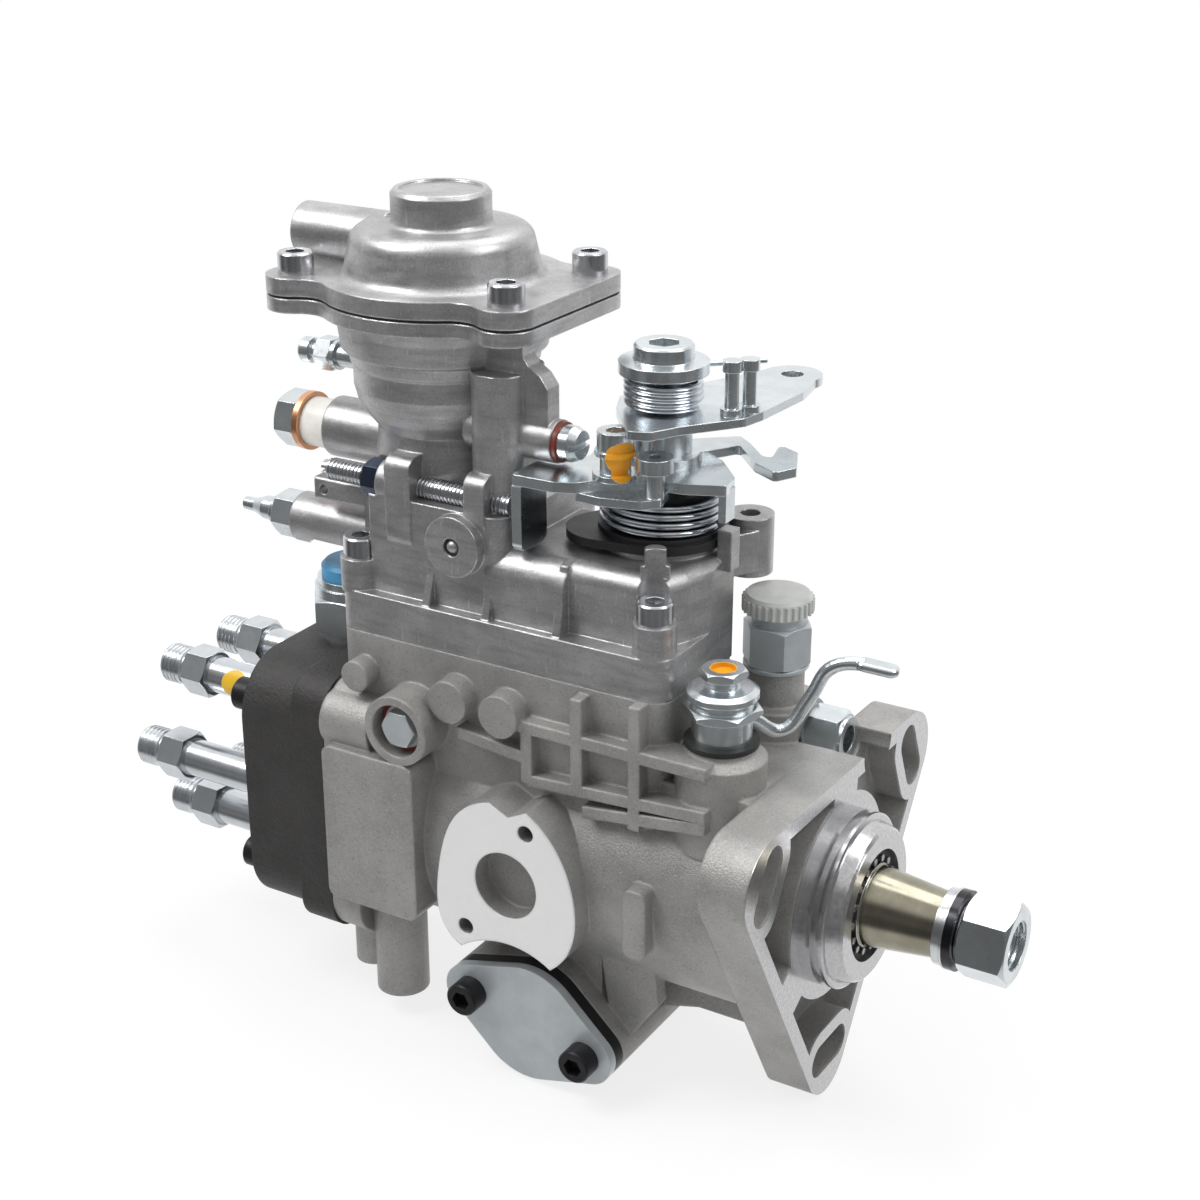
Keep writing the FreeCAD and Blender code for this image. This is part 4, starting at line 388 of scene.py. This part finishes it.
@dataclass(frozen=True)
class CastAluminium(Finish):
    """Sand-cast aluminium with a grainy skin, pits and soft worn edges."""

    metallic: float = 0.55
    tone_scale: float = 60.0
    edge_mm: float = 1.3
    grain_mm: float = 0.50
    grain_depth_mm: float = 0.26
    grain_share: float = 0.8
    grain_rough: float = 0.15
    lump_scale: float = 120.0
    lump_share: float = 1.2
    speck_scale: float = 1700.0
    speck_light: float = 1.45
    pit_scale: float = 1250.0
    pit_dark: float = 0.55
    fleck_share: float = 0.55
    wear: float = 0.30
    wear_scale: float = 260.0
    wear_light: float = 1.5
    wear_polish: float = 0.2

    def skin(self, tree: ShaderTree) -> tuple[Wire, Wire, bpy.types.NodeSocket]:
        """Colour, roughness and normal of the bare casting."""
        soft, edge = tree.soft_edges(self.edge_mm * MM)
        grains = tree.noise(1.0 / (self.grain_mm * MM), rough=0.6)
        lumps = tree.noise(self.lump_scale, rough=0.5)
        specks = tree.noise(self.speck_scale, detail=2.0, rough=0.7).ramp(0.50, 0.72)
        pits = tree.noise(self.pit_scale, detail=2.0, rough=0.7).ramp(0.42, 0.30)
        worn = edge * self.wear * tree.noise(self.wear_scale).ramp(0.35, 0.65)
        base = self.tinted(tree, self.colour)
        base = tree.blend(specks * self.fleck_share, base, toned(self.colour, self.speck_light))
        base = tree.blend(pits * self.fleck_share, base, toned(self.colour, self.pit_dark))
        base = tree.blend(worn, base, toned(self.colour, self.wear_light))
        rough = (grains - 0.5) * self.grain_rough + self.roughness - worn * self.wear_polish
        height = grains * self.grain_share + lumps * self.lump_share
        return base, rough, tree.bump(height, self.grain_depth_mm * MM, soft)

    def material(self) -> bpy.types.Material:
        """Builds the material."""
        tree = ShaderTree(self.name)
        base, rough, normal = self.skin(tree)
        return tree.finish(base, rough, self.metallic, normal)


@dataclass(frozen=True)
class HousingCasting(CastAluminium):
    """Sand casting with its machined pad, flange face and pilot."""

    machined: Colour = (0.60, 0.60, 0.61)
    machined_dark: float = 0.86
    machined_scale: float = 900.0
    machined_rough: float = 0.20
    machined_metallic: float = 0.9
    ring_pitch: float = 0.80 * MM
    ring_depth: float = 0.005 * MM
    bore_r: float = 17.5 * MM
    bore_floor: tuple[float, float] = (-20.0 * MM, -18.0 * MM)
    flange_face: tuple[float, float] = (-0.25 * MM, -0.10 * MM)
    pad_tone: Colour = (0.84, 0.84, 0.845)
    pad_rough: float = 0.42
    pad_metallic: float = 0.25
    pad_at: Point = (-81.4 * MM, -44.0 * MM, 0.3 * MM)
    pad_reach: float = 34.0 * MM

    def pad_mask(self, tree: ShaderTree) -> Wire:
        """Mask of the flat face of the side pad."""
        _, y, _ = tree.split()
        level = (y - self.pad_at[1]).magnitude().ramp(0.30 * MM, 0.15 * MM)
        away = tree.radius_about(Axis.Y, self.pad_at[0], self.pad_at[2])
        return level * away.ramp(self.pad_reach, self.pad_reach - 0.5 * MM)

    def turned_mask(self, tree: ShaderTree) -> Wire:
        """Mask of the flange face, the pilot and the shaft bore."""
        x, _, _ = tree.split()
        away = tree.radius_about(Axis.X, 0.0, 0.0)
        bore = away.ramp(self.bore_r, self.bore_r - 0.2 * MM) * x.ramp(*self.bore_floor)
        return x.ramp(*self.flange_face).greatest(bore)

    def material(self) -> bpy.types.Material:
        """Builds the material."""
        tree = ShaderTree(self.name)
        base, rough, normal = self.skin(tree)
        pad = self.pad_mask(tree)
        turned = self.turned_mask(tree)
        rings = (tree.radius_about(Axis.X, 0.0, 0.0) * (FULL_TURN / self.ring_pitch)).sine()
        clouds = tree.noise(self.machined_scale).ramp(0.35, 0.7)
        cut = tree.blend(clouds, toned(self.machined, self.machined_dark), self.machined)
        base = tree.blend(pad, tree.blend(turned, base, cut), self.pad_tone)
        rough = tree.level(pad, tree.level(turned, rough, self.machined_rough), self.pad_rough)
        metallic = tree.level(
            pad, tree.level(turned, self.metallic, self.machined_metallic), self.pad_metallic)
        grooves = tree.bump(rings, self.ring_depth)
        bent = tree.node("ShaderNodeMix", {"data_type": "VECTOR"}, {"Factor": turned, 4: normal, 5: grooves})
        return tree.finish(base, rough, metallic, bent.outputs[1])


@dataclass(frozen=True)
class DieCast(CastAluminium):
    """Die-cast aluminium: smooth, with flow streaks, scuffs and bright worn edges."""

    metallic: float = 0.85
    edge_mm: float = 0.8
    grain_mm: float = 0.5
    grain_depth_mm: float = 0.05
    wear: float = 0.9
    streak: Point = (70.0, 70.0, 420.0)
    streak_share: float = 0.5
    streak_dark: float = 0.62
    scuff: Point = (900.0, 900.0, 150.0)
    scuff_share: float = 0.6
    scuff_light: float = 1.6
    scuff_polish: float = 0.08
    dull_scale: float = 75.0
    dull_rough: float = 0.12
    dent_scale: float = 95.0
    dent_depth_mm: float = 0.22

    def material(self) -> bpy.types.Material:
        """Builds the material."""
        tree = ShaderTree(self.name)
        base, rough, normal = self.skin(tree)
        streaks = tree.streaks(self.streak, detail=4.0, rough=0.6).ramp(0.42, 0.70)
        scuffs = tree.streaks(self.scuff, detail=3.0, rough=0.7).ramp(0.62, 0.72)
        dull = tree.noise(self.dull_scale, detail=4.0, rough=0.65).ramp(0.40, 0.62)
        base = tree.blend(streaks * self.streak_share, base, toned(self.colour, self.streak_dark))
        base = tree.blend(scuffs * self.scuff_share, base, toned(self.colour, self.scuff_light))
        rough = rough + dull * self.dull_rough - scuffs * self.scuff_polish
        dents = tree.noise(self.dent_scale, rough=0.5)
        return tree.finish(base, rough, self.metallic, tree.bump(dents, self.dent_depth_mm * MM, normal))


@dataclass(frozen=True)
class GroundSteel(Finish):
    """Ground steel with one band of another tone along the shaft's axis."""

    metallic: float = 1.0
    tone_scale: float = 120.0
    grinding: Point = (4200.0, 60.0, 60.0)
    grinding_rough: float = 0.12
    rough_drop: float = 0.05
    depth: float = 0.01 * MM
    band_colour: Colour = (0.34, 0.32, 0.25)
    band: tuple[float, float] = (11.2 * MM, 31.9 * MM)
    band_soft: float = 0.2 * MM

    def material(self) -> bpy.types.Material:
        """Builds the material."""
        tree = ShaderTree(self.name)
        normal, _ = tree.soft_edges(self.edge_mm * MM)
        x, _, _ = tree.split()
        lines = tree.streaks(self.grinding)
        mask = x.between(*self.band, self.band_soft)
        base = tree.blend(mask, self.tinted(tree, self.colour), self.tinted(tree, self.band_colour))
        rough = lines * self.grinding_rough + (self.roughness - self.rough_drop)
        return tree.finish(base, rough, self.metallic, tree.bump(lines, self.depth, normal))


CAST_COLOUR = (0.37, 0.365, 0.355)
ZINC_COLOUR = (0.70, 0.74, 0.76)
BLACK_RUBBER = (0.02, 0.02, 0.02)

CAST_BODY = HousingCasting("cast body", CAST_COLOUR, 0.50)
PLAIN_CAST = CastAluminium("plain casting", CAST_COLOUR, 0.50)
COVER_CAST = DieCast("die-cast cover", (0.46, 0.455, 0.46), 0.36)
BLACK_HEAD = CastAluminium(
    "blackened head", (0.040, 0.038, 0.037), 0.55,
    metallic=0.2, edge_mm=1.0, wear=0.5, grain_mm=0.9, grain_depth_mm=0.35)
BLACK_STEEL = Finish("blackened steel", (0.02, 0.02, 0.022), 0.38, metallic=0.5)
ZINC = PlatedSteel("zinc plate", ZINC_COLOUR, 0.24)
ZINC_PAINTED = PlatedSteel(
    "zinc with orange paint", ZINC_COLOUR, 0.24,
    paint=(
        ((-27.1 * MM, -20.0 * MM, 69.6 * MM), 4.8 * MM),
        ((-61.0 * MM, -15.5 * MM, 121.5 * MM), 5.8 * MM),
        ((-60.0 * MM, -17.0 * MM, 118.0 * MM), 4.0 * MM)))
UNION_STEEL = PlatedSteel(
    "zinc with yellow paint", (0.68, 0.71, 0.74), 0.22, scratch=(2600.0, 300.0, 300.0),
    paint=(((-198.0 * MM, -19.0 * MM, 24.0 * MM), 6.5 * MM),), paint_colour=(0.78, 0.47, 0.02))
SATIN_ZINC = PlatedSteel(
    "satin zinc", (0.55, 0.59, 0.61), 0.40, metallic=0.6, scratch=(140.0, 140.0, 140.0))
SCREW_STEEL = PlatedSteel("screw steel", (0.55, 0.56, 0.58), 0.20)
BLUED_STEEL = PlatedSteel("blued steel", (0.07, 0.09, 0.14), 0.26)
SPRING_STEEL = PlatedSteel("spring wire", (0.60, 0.63, 0.67), 0.16)
RING_RUBBER = PlatedSteel(
    "ring rubber", BLACK_RUBBER, 0.5, metallic=0.0, paint_colour=(0.20, 0.035, 0.02),
    paint=(
        ((-81.0 * MM, -12.0 * MM, 121.4 * MM), 14.0 * MM),
        ((-119.5 * MM, -35.0 * MM, 37.5 * MM), 20.0 * MM)))
WASHER_STEEL = GroundSteel(
    "washer steel", (0.66, 0.68, 0.70), 0.20,
    band_colour=(0.05, 0.05, 0.055), band=(35.0 * MM, 37.6 * MM))
SHAFT_STEEL = GroundSteel("ground shaft", (0.58, 0.58, 0.58), 0.17)
INNER_STEEL = Finish("inner steel", (0.42, 0.41, 0.40), 0.35, metallic=1.0)
COPPER = Finish("copper", (0.72, 0.38, 0.22), 0.32, metallic=1.0)
BRONZE = Finish("sintered bronze", (0.50, 0.38, 0.20), 0.45, metallic=1.0)
NYLON = Finish("natural nylon", (0.80, 0.78, 0.73), 0.35)
BLUE_CAP = Finish("blue cap", (0.05, 0.25, 0.45), 0.42)
GREY_CAP = Finish("grey cap", (0.52, 0.53, 0.51), 0.45)
BLACK_CUP = Finish("black cup", (0.018, 0.018, 0.020), 0.45)
RUBBER = Finish("black rubber", BLACK_RUBBER, 0.6)


@dataclass
class Dressing:
    """Puts finishes on the solids, and builds each material once."""

    nodes: dict[str, bpy.types.Object]
    made: dict[str, bpy.types.Material] = field(default_factory=dict)

    def material(self, finish: Finish) -> bpy.types.Material:
        """The finish's material, built once."""
        if finish.name not in self.made:
            self.made[finish.name] = finish.material()
        return self.made[finish.name]

    def dress(self, finish: Finish, names: Iterable[str]) -> None:
        """Puts one finish on several solids."""
        for name in names:
            mesh = self.nodes[name].data
            mesh.materials.clear()
            mesh.materials.append(self.material(finish))
            log.info("%s: %s", name, finish.name)


class GeometryTree(NodeTree):
    """Geometry Nodes tree that makes one piece."""

    def __init__(self, name: str, sizes: dict[str, float]) -> None:
        """Starts a tree with named inputs.

        Args:
            name: Name of the tree and of the piece.
            sizes: Named inputs and their values; whole numbers make integer inputs.
        """
        super().__init__(bpy.data.node_groups.new(name, "GeometryNodeTree"))
        self.name = name
        self.sizes = sizes
        self.tree.interface.new_socket("Geometry", in_out="OUTPUT", socket_type="NodeSocketGeometry")
        for label, size in sizes.items():
            kind = "NodeSocketInt" if isinstance(size, int) else "NodeSocketFloat"
            self.tree.interface.new_socket(label, in_out="INPUT", socket_type=kind)
        self.given = self.node("NodeGroupInput", {}, {})

    def tube(self, curve: bpy.types.NodeSocket, sides: int) -> bpy.types.NodeSocket:
        """Smooth round wire along a curve, with the radius of the input Wire and closed ends."""
        section = self.node("GeometryNodeCurvePrimitiveCircle", {}, {"Resolution": sides, "Radius": "Wire"})
        swept = self.node("GeometryNodeCurveToMesh", {}, {
            "Curve": curve, "Profile Curve": section.outputs[0], "Fill Caps": True})
        return self.node("GeometryNodeSetShadeSmooth", {}, {"Geometry": swept.outputs[0]}).outputs[0]

    def mesh(self, shape: bpy.types.NodeSocket, material: bpy.types.Material) -> bpy.types.Object:
        """Closes the tree, evaluates it and returns a plain mesh object.

        Args:
            shape: The geometry to keep.
            material: Material of the whole piece.

        Returns:
            The new object, at the origin.
        """
        real = self.node("GeometryNodeRealizeInstances", {}, {0: shape})
        dressed = self.node("GeometryNodeSetMaterial", {}, {
            "Geometry": real.outputs[0], "Material": material})
        self.node("NodeGroupOutput", {}, {0: dressed.outputs[0]})
        carrier = bpy.data.objects.new(self.name + "_carrier", bpy.data.meshes.new(self.name + "_empty"))
        bpy.context.scene.collection.objects.link(carrier)
        modifier = carrier.modifiers.new("shape", "NODES")
        modifier.node_group = self.tree
        for item in self.tree.interface.items_tree:
            if item.in_out == "INPUT":
                modifier[item.identifier] = self.sizes[item.name]
        bpy.context.view_layer.update()
        graph = bpy.context.evaluated_depsgraph_get()
        mesh = bpy.data.meshes.new_from_object(carrier.evaluated_get(graph))
        bpy.data.objects.remove(carrier)
        piece = bpy.data.objects.new(self.name, mesh)
        bpy.context.scene.collection.objects.link(piece)
        log.info("%s: %s", self.name, material.name)
        return piece


@dataclass
class Coil:
    """Wound wire or a screw thread about an axis."""

    name: str
    start: Point
    radius: float
    length: float
    turns: float
    wire: float
    axis: Axis = Axis.Z
    wire_sides: int = 12
    steps: int = 40

    def build(self, material: bpy.types.Material) -> bpy.types.Object:
        """Sweeps the wire along a helix.

        Args:
            material: Finish of the wire.

        Returns:
            The coil as a mesh.
        """
        tree = GeometryTree(self.name, {
            "Turns": self.turns, "Radius": self.radius, "Length": self.length, "Wire": self.wire})
        spiral = tree.node("GeometryNodeCurveSpiral", {}, {
            "Resolution": self.steps, "Rotations": "Turns", "Start Radius": "Radius",
            "End Radius": "Radius", "Height": "Length"})
        quarter = math.pi / 2
        turn = {Axis.X: (0.0, quarter, 0.0), Axis.Y: (-quarter, 0.0, 0.0), Axis.Z: (0.0, 0.0, 0.0)}
        placed = tree.node("GeometryNodeTransform", {}, {
            "Geometry": tree.tube(spiral.outputs[0], self.wire_sides), "Translation": self.start,
            "Rotation": turn[self.axis]})
        return tree.mesh(placed.outputs[0], material)


def joined(name: str, pieces: list[bpy.types.Object]) -> bpy.types.Object:
    """Joins several mesh objects into one with the given name."""
    for chosen in bpy.context.scene.objects:
        chosen.select_set(False)
    for piece in pieces:
        piece.select_set(True)
    bpy.context.view_layer.objects.active = pieces[0]
    bpy.ops.object.join()
    pieces[0].name = name
    pieces[0].select_set(False)
    return pieces[0]


@dataclass
class Castings:
    """Housing, head, cover and boost chamber, with their screws and seals."""

    dressing: Dressing

    def dress(self) -> None:
        """Gives the castings and what holds them their finishes."""
        self.dressing.dress(CAST_BODY, ["pump_housing"])
        self.dressing.dress(COVER_CAST, ["governor_cover", "boost_cover"])
        self.dressing.dress(BLACK_HEAD, ["distributor_head"])
        self.dressing.dress(SCREW_STEEL, ["cover_screws", "boost_screws"])
        self.dressing.dress(BLACK_STEEL, [
            "head_screws", "head_plug", "timing_spacers", "timing_cover_screws"])
        self.dressing.dress(SATIN_ZINC, ["timing_covers"])
        self.dressing.dress(RUBBER, ["boost_diaphragm", "shaft_seal"])
        self.dressing.dress(RING_RUBBER, ["seal_rings"])


@dataclass
class DeliveryUnions:
    """Six pipe unions on the head, with their threads."""

    dressing: Dressing
    circle: float = 27.0 * MM
    end_x: float = -229.0 * MM
    thread_r: float = 6.0 * MM
    thread_sink: float = 0.12 * MM
    thread_wire: float = 0.42 * MM
    pitch: float = 1.5 * MM
    thread_l: float = 6.0 * MM
    lead_in: float = 1.2 * MM
    count: int = 6

    def build(self) -> None:
        """Dresses the unions and winds a thread round the end of each."""
        material = self.dressing.material(UNION_STEEL)
        pieces = []
        for step in range(self.count):
            angle = FULL_TURN * step / self.count
            start = (
                self.end_x + self.lead_in, self.circle * math.cos(angle), self.circle * math.sin(angle))
            coil = Coil(
                f"union_thread_{step}", start, self.thread_r - self.thread_sink, self.thread_l,
                self.thread_l / self.pitch, self.thread_wire, Axis.X, wire_sides=6, steps=24)
            pieces.append(coil.build(material))
        threads = joined("union_threads", pieces)
        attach(threads, "pump")
        self.dressing.dress(UNION_STEEL, ["delivery_valve_holders"])


@dataclass
class Fittings:
    """Unions, valves and adjusting screws on the pump."""

    dressing: Dressing
    screw_start: Point = (-154.0 * MM, -20.0 * MM, 103.5 * MM)
    screw_l: float = 61.0 * MM
    screw_r: float = 2.92 * MM
    screw_pitch: float = 1.25 * MM
    screw_wire: float = 0.42 * MM

    def build(self) -> None:
        """Dresses the fittings and threads the idle stop screw."""
        self.dressing.dress(ZINC_PAINTED, ["inlet_bolt"])
        self.dressing.dress(ZINC, [
            "inlet_union", "inlet_pipe", "outlet_union", "slotted_plug", "full_load_screw",
            "stop_solenoid", "pivot_bolt", "boost_nipple"])
        self.dressing.dress(BLUED_STEEL, ["stop_screw_nut"])
        self.dressing.dress(SATIN_ZINC, ["inspection_bolt", "overflow_valve"])
        self.dressing.dress(SCREW_STEEL, ["stop_screw"])
        self.dressing.dress(COPPER, ["copper_washer"])
        self.dressing.dress(NYLON, ["nylon_sleeve"])
        self.dressing.dress(BLUE_CAP, ["solenoid_cap"])
        self.dressing.dress(GREY_CAP, ["overflow_cap"])
        coil = Coil(
            "stop_screw_thread", self.screw_start, self.screw_r, self.screw_l,
            self.screw_l / self.screw_pitch, self.screw_wire, Axis.X, wire_sides=6, steps=20)
        thread = coil.build(self.dressing.material(SCREW_STEEL))
        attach(thread, "pump")


@dataclass(frozen=True)
class Spring:
    """Sizes of one wound spring and the solid whose room it takes."""

    name: str
    node: str
    radius: float
    wire: float
    turns: float


@dataclass
class Levers:
    """Throttle shaft, its levers, springs and cap."""

    dressing: Dressing
    x: float = -60.0 * MM
    y: float = 5.0 * MM
    springs: tuple[Spring, ...] = (
        Spring("return_coil", "return_spring", 16.4 * MM, 0.95 * MM, 4.0),
        Spring("upper_coil", "lever_spring", 9.9 * MM, 1.0 * MM, 3.6))
    spring_steps: int = 64
    leg_ends: tuple[Point, Point] = (
        (-66.8 * MM, 11.8 * MM, 138.3 * MM), (-43.6 * MM, 33.5 * MM, 138.3 * MM))
    leg_wire: float = 0.9 * MM
    leg_sides: int = 12

    def build(self) -> None:
        """Dresses the levers and winds their springs."""
        self.dressing.dress(ZINC, ["throttle_shaft", "stop_lever", "upper_lever", "lever_pins", "lever_cap"])
        self.dressing.dress(ZINC_PAINTED, ["lever_screw"])
        self.dressing.dress(BLACK_CUP, ["spring_cup"])
        wire = self.dressing.material(SPRING_STEEL)
        for spring in self.springs:
            self._wind(spring, wire)
        self._leg(wire)

    def _wind(self, spring: Spring, material: bpy.types.Material) -> None:
        """Winds one spring in the room of its solid."""
        low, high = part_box(spring.node)
        start = (self.x, self.y, low.z + spring.wire)
        length = high.z - low.z - 2 * spring.wire
        coil = Coil(
            spring.name, start, spring.radius, length, spring.turns, spring.wire,
            steps=self.spring_steps).build(material)
        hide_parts(spring.node)
        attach(coil, "throttle")

    def _leg(self, material: bpy.types.Material) -> None:
        """Lays the straight end of the upper spring against the pins."""
        tree = GeometryTree("spring_leg", {"Wire": self.leg_wire})
        line = tree.node("GeometryNodeCurvePrimitiveLine", {}, {
            "Start": self.leg_ends[0], "End": self.leg_ends[1]})
        leg = tree.mesh(tree.tube(line.outputs[0], self.leg_sides), material)
        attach(leg, "throttle")


@dataclass
class DriveEnd:
    """Shaft, washers, nut, bearing and what lies inside."""

    dressing: Dressing
    nut_x: float = 39.8 * MM
    nut_l: float = 11.6 * MM
    nut_pitch: float = 1.5 * MM
    nut_thread_r: float = 6.95 * MM
    nut_wire: float = 0.45 * MM
    bearing_x: float = 10.3 * MM
    bearing_circle: float = 13.2 * MM
    roller_r: float = 1.0 * MM
    roller_l: float = 0.8 * MM
    roller_sides: int = 12
    rollers: int = 16

    def build(self) -> None:
        """Dresses the drive end and the inner pieces."""
        self.dressing.dress(SHAFT_STEEL, ["drive_shaft"])
        self.dressing.dress(WASHER_STEEL, ["shaft_washers"])
        self.dressing.dress(ZINC, ["shaft_nut"])
        self._nut_thread()
        self._bearing()
        self.dressing.dress(BRONZE, ["shaft_bush"])
        self.dressing.dress(INNER_STEEL, [
            "feed_pump_ring", "feed_pump_rotor", "governor_shaft", "distributor_plunger", "roller_ring",
            "governor_cage", "flyweight_1", "flyweight_2", "flyweight_3", "flyweight_4",
            "governor_sleeve", "governor_lever", "control_collar", "boost_pin"])
        self.dressing.dress(PLAIN_CAST, ["timing_piston"])

    def _nut_thread(self) -> None:
        """Winds the thread that shows inside the hollow nut."""
        coil = Coil(
            "nut_thread", (self.nut_x, 0.0, 0.0), self.nut_thread_r, self.nut_l,
            self.nut_l / self.nut_pitch, self.nut_wire, Axis.X, wire_sides=6, steps=24)
        turns = coil.build(self.dressing.material(ZINC))
        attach(turns, "shaft")

    def _bearing(self) -> None:
        """Sets the rollers that show in the gap round the shaft."""
        tree = GeometryTree("bearing_rollers", {
            "Count": self.rollers, "Circle": self.bearing_circle, "Roller": self.roller_r,
            "Length": self.roller_l})
        ring = tree.node("GeometryNodeCurvePrimitiveCircle", {}, {"Resolution": "Count", "Radius": "Circle"})
        roller = tree.node("GeometryNodeMeshCylinder", {}, {
            "Vertices": self.roller_sides, "Radius": "Roller", "Depth": "Length"})
        places = tree.node("GeometryNodeCurveToPoints", {"mode": "EVALUATED"}, {"Curve": ring.outputs[0]})
        laid = tree.node("GeometryNodeInstanceOnPoints", {}, {
            "Points": places.outputs[0], "Instance": roller.outputs[0]})
        turned = tree.node("GeometryNodeTransform", {}, {
            "Geometry": laid.outputs[0], "Translation": (self.bearing_x, 0.0, 0.0),
            "Rotation": (0.0, math.pi / 2, 0.0)})
        rollers = tree.mesh(turned.outputs[0], self.dressing.material(INNER_STEEL))
        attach(rollers, "pump")


@dataclass(frozen=True)
class Lamp:
    """Square soft lamp: its place, side and power in watts."""

    name: str
    place: Point
    side: float
    power: float


@dataclass
class Studio:
    """White room, lamps, pale table and the camera of the photograph.

    Shares of light are from 0, black, to 1, white.
    """

    lens_mm: float = 61.88
    sensor_mm: float = 36.0
    near_clip: float = 0.01
    place: Point = (0.19871, -0.46065, 0.29439)
    tilt_deg: float = 67.5
    turn_deg: float = 30.89
    lamps: tuple[Lamp, ...] = (
        Lamp("key", (-0.55, -0.40, 0.85), 0.50, 6.0),
        Lamp("fill", (0.70, 0.10, 0.75), 0.50, 4.0),
        Lamp("top", (-0.10, 0.30, 0.95), 0.70, 4.0))
    lamp_aim: Point = (-0.08, 0.0, 0.04)
    floor_z: float = -64.6 * MM
    floor_at: tuple[float, float] = (-0.08, 0.0)
    floor_reach: float = 0.55
    floor_sides: int = 48
    floor_tone: float = 0.90
    floor_rough: float = 0.8
    floor_white: float = 0.80
    plain_low: float = 0.30
    plain_high: float = 0.62
    shade: float = 0.10
    patch_scale: float = 2.2
    patch_light: float = 0.18
    table: float = 0.75
    ceiling: float = 0.78

    def build(self) -> None:
        """Makes the camera, the lamps, the floor and the world."""
        scene = bpy.context.scene
        scene.view_settings.view_transform = "Standard"
        data = bpy.data.cameras.new("camera")
        data.lens = self.lens_mm
        data.sensor_width = self.sensor_mm
        data.clip_start = self.near_clip
        camera = bpy.data.objects.new("camera", data)
        camera.location = self.place
        camera.rotation_euler = (math.radians(self.tilt_deg), 0.0, math.radians(self.turn_deg))
        scene.collection.objects.link(camera)
        scene.camera = camera
        self._world(scene)
        self._floor(scene)
        for lamp in self.lamps:
            self._lamp(scene, lamp)

    def _lamp(self, scene: bpy.types.Scene, lamp: Lamp) -> None:
        """Adds one lamp that faces the pump."""
        data = bpy.data.lights.new(lamp.name, "AREA")
        data.size = lamp.side
        data.energy = lamp.power
        made = bpy.data.objects.new(lamp.name, data)
        made.location = lamp.place
        aim = Vector(self.lamp_aim) - Vector(lamp.place)
        made.rotation_euler = aim.to_track_quat("-Z", "Y").to_euler()
        scene.collection.objects.link(made)

    def _floor(self, scene: bpy.types.Scene) -> None:
        """Pale table under the pump, near white to the camera, with the pump's shadow on it."""
        x, y = self.floor_at
        turns = [FULL_TURN * step / self.floor_sides for step in range(self.floor_sides)]
        rim = [
            (x + self.floor_reach * math.cos(turn), y + self.floor_reach * math.sin(turn), self.floor_z)
            for turn in turns]
        mesh = bpy.data.meshes.new("floor")
        mesh.from_pydata(rim, [], [tuple(range(self.floor_sides))])
        tree = ShaderTree("pale table")
        tone = (self.floor_tone, self.floor_tone, self.floor_tone, 1.0)
        matt = tree.node("ShaderNodeBsdfPrincipled", {}, {"Base Color": tone, "Roughness": self.floor_rough})
        white = tree.node("ShaderNodeEmission", {}, {"Color": (1.0, 1.0, 1.0, 1.0), "Strength": 1.0})
        seen = tree.value("ShaderNodeLightPath", {}, {}, "Is Camera Ray")
        away = tree.radius_about(Axis.Z, *self.floor_at)
        cover = tree.level(
            away.ramp(self.floor_reach * 0.35, self.floor_reach * 0.9), self.floor_white, 1.0)
        both = tree.node("ShaderNodeMixShader", {}, {
            0: seen * cover, 1: matt.outputs[0], 2: white.outputs[0]})
        tree.node("ShaderNodeOutputMaterial", {}, {"Surface": both.outputs[0]})
        mesh.materials.append(tree.owner)
        floor = bpy.data.objects.new("floor", mesh)
        floor.visible_glossy = False
        scene.collection.objects.link(floor)

    def _world(self, scene: bpy.types.Scene) -> None:
        """White backdrop for the camera and for metal, with a dark near side that only metal shows."""
        tree = ShaderTree("room", world=True)
        scene.world = tree.owner
        view = tree.node("ShaderNodeTexCoord", {}, {}).outputs["Generated"]
        x, y, z = tree.split(view)
        turn = math.radians(self.turn_deg)
        away = y * math.cos(turn) - x * math.sin(turn)
        path = tree.node("ShaderNodeLightPath", {}, {})
        camera, glossy, through = (
            Wire(tree, path.outputs[f"Is {ray} Ray"]) for ray in ("Camera", "Glossy", "Transmission"))
        patches = tree.noise(self.patch_scale, detail=2.0, rough=0.5, vector=view).ramp(0.30, 0.75)
        backdrop = away.ramp(0.0, 0.60).greatest(z.ramp(0.45, 0.80) * self.ceiling)
        backdrop = backdrop.greatest(z.ramp(-0.40, -0.68) * self.table)
        backdrop = backdrop.greatest(patches * self.patch_light)
        plain = z.ramp(-0.2, 0.9) * (self.plain_high - self.plain_low) + self.plain_low
        room = tree.level(glossy.greatest(through), plain, tree.level(backdrop, self.shade, 1.0))
        light = tree.node("ShaderNodeBackground", {}, {"Color": tree.level(camera, room, 1.0)})
        tree.node("ShaderNodeOutputWorld", {}, {"Surface": light.outputs[0]})


def main() -> None:
    """Builds the looks in order."""
    logging.basicConfig(level=logging.INFO, format="%(message)s")
    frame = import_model()
    dressing = Dressing(frame["nodes"])
    Castings(dressing).dress()
    DeliveryUnions(dressing).build()
    Fittings(dressing).build()
    Levers(dressing).build()
    DriveEnd(dressing).build()
    Studio().build()


if __name__ == "__main__":
    main()
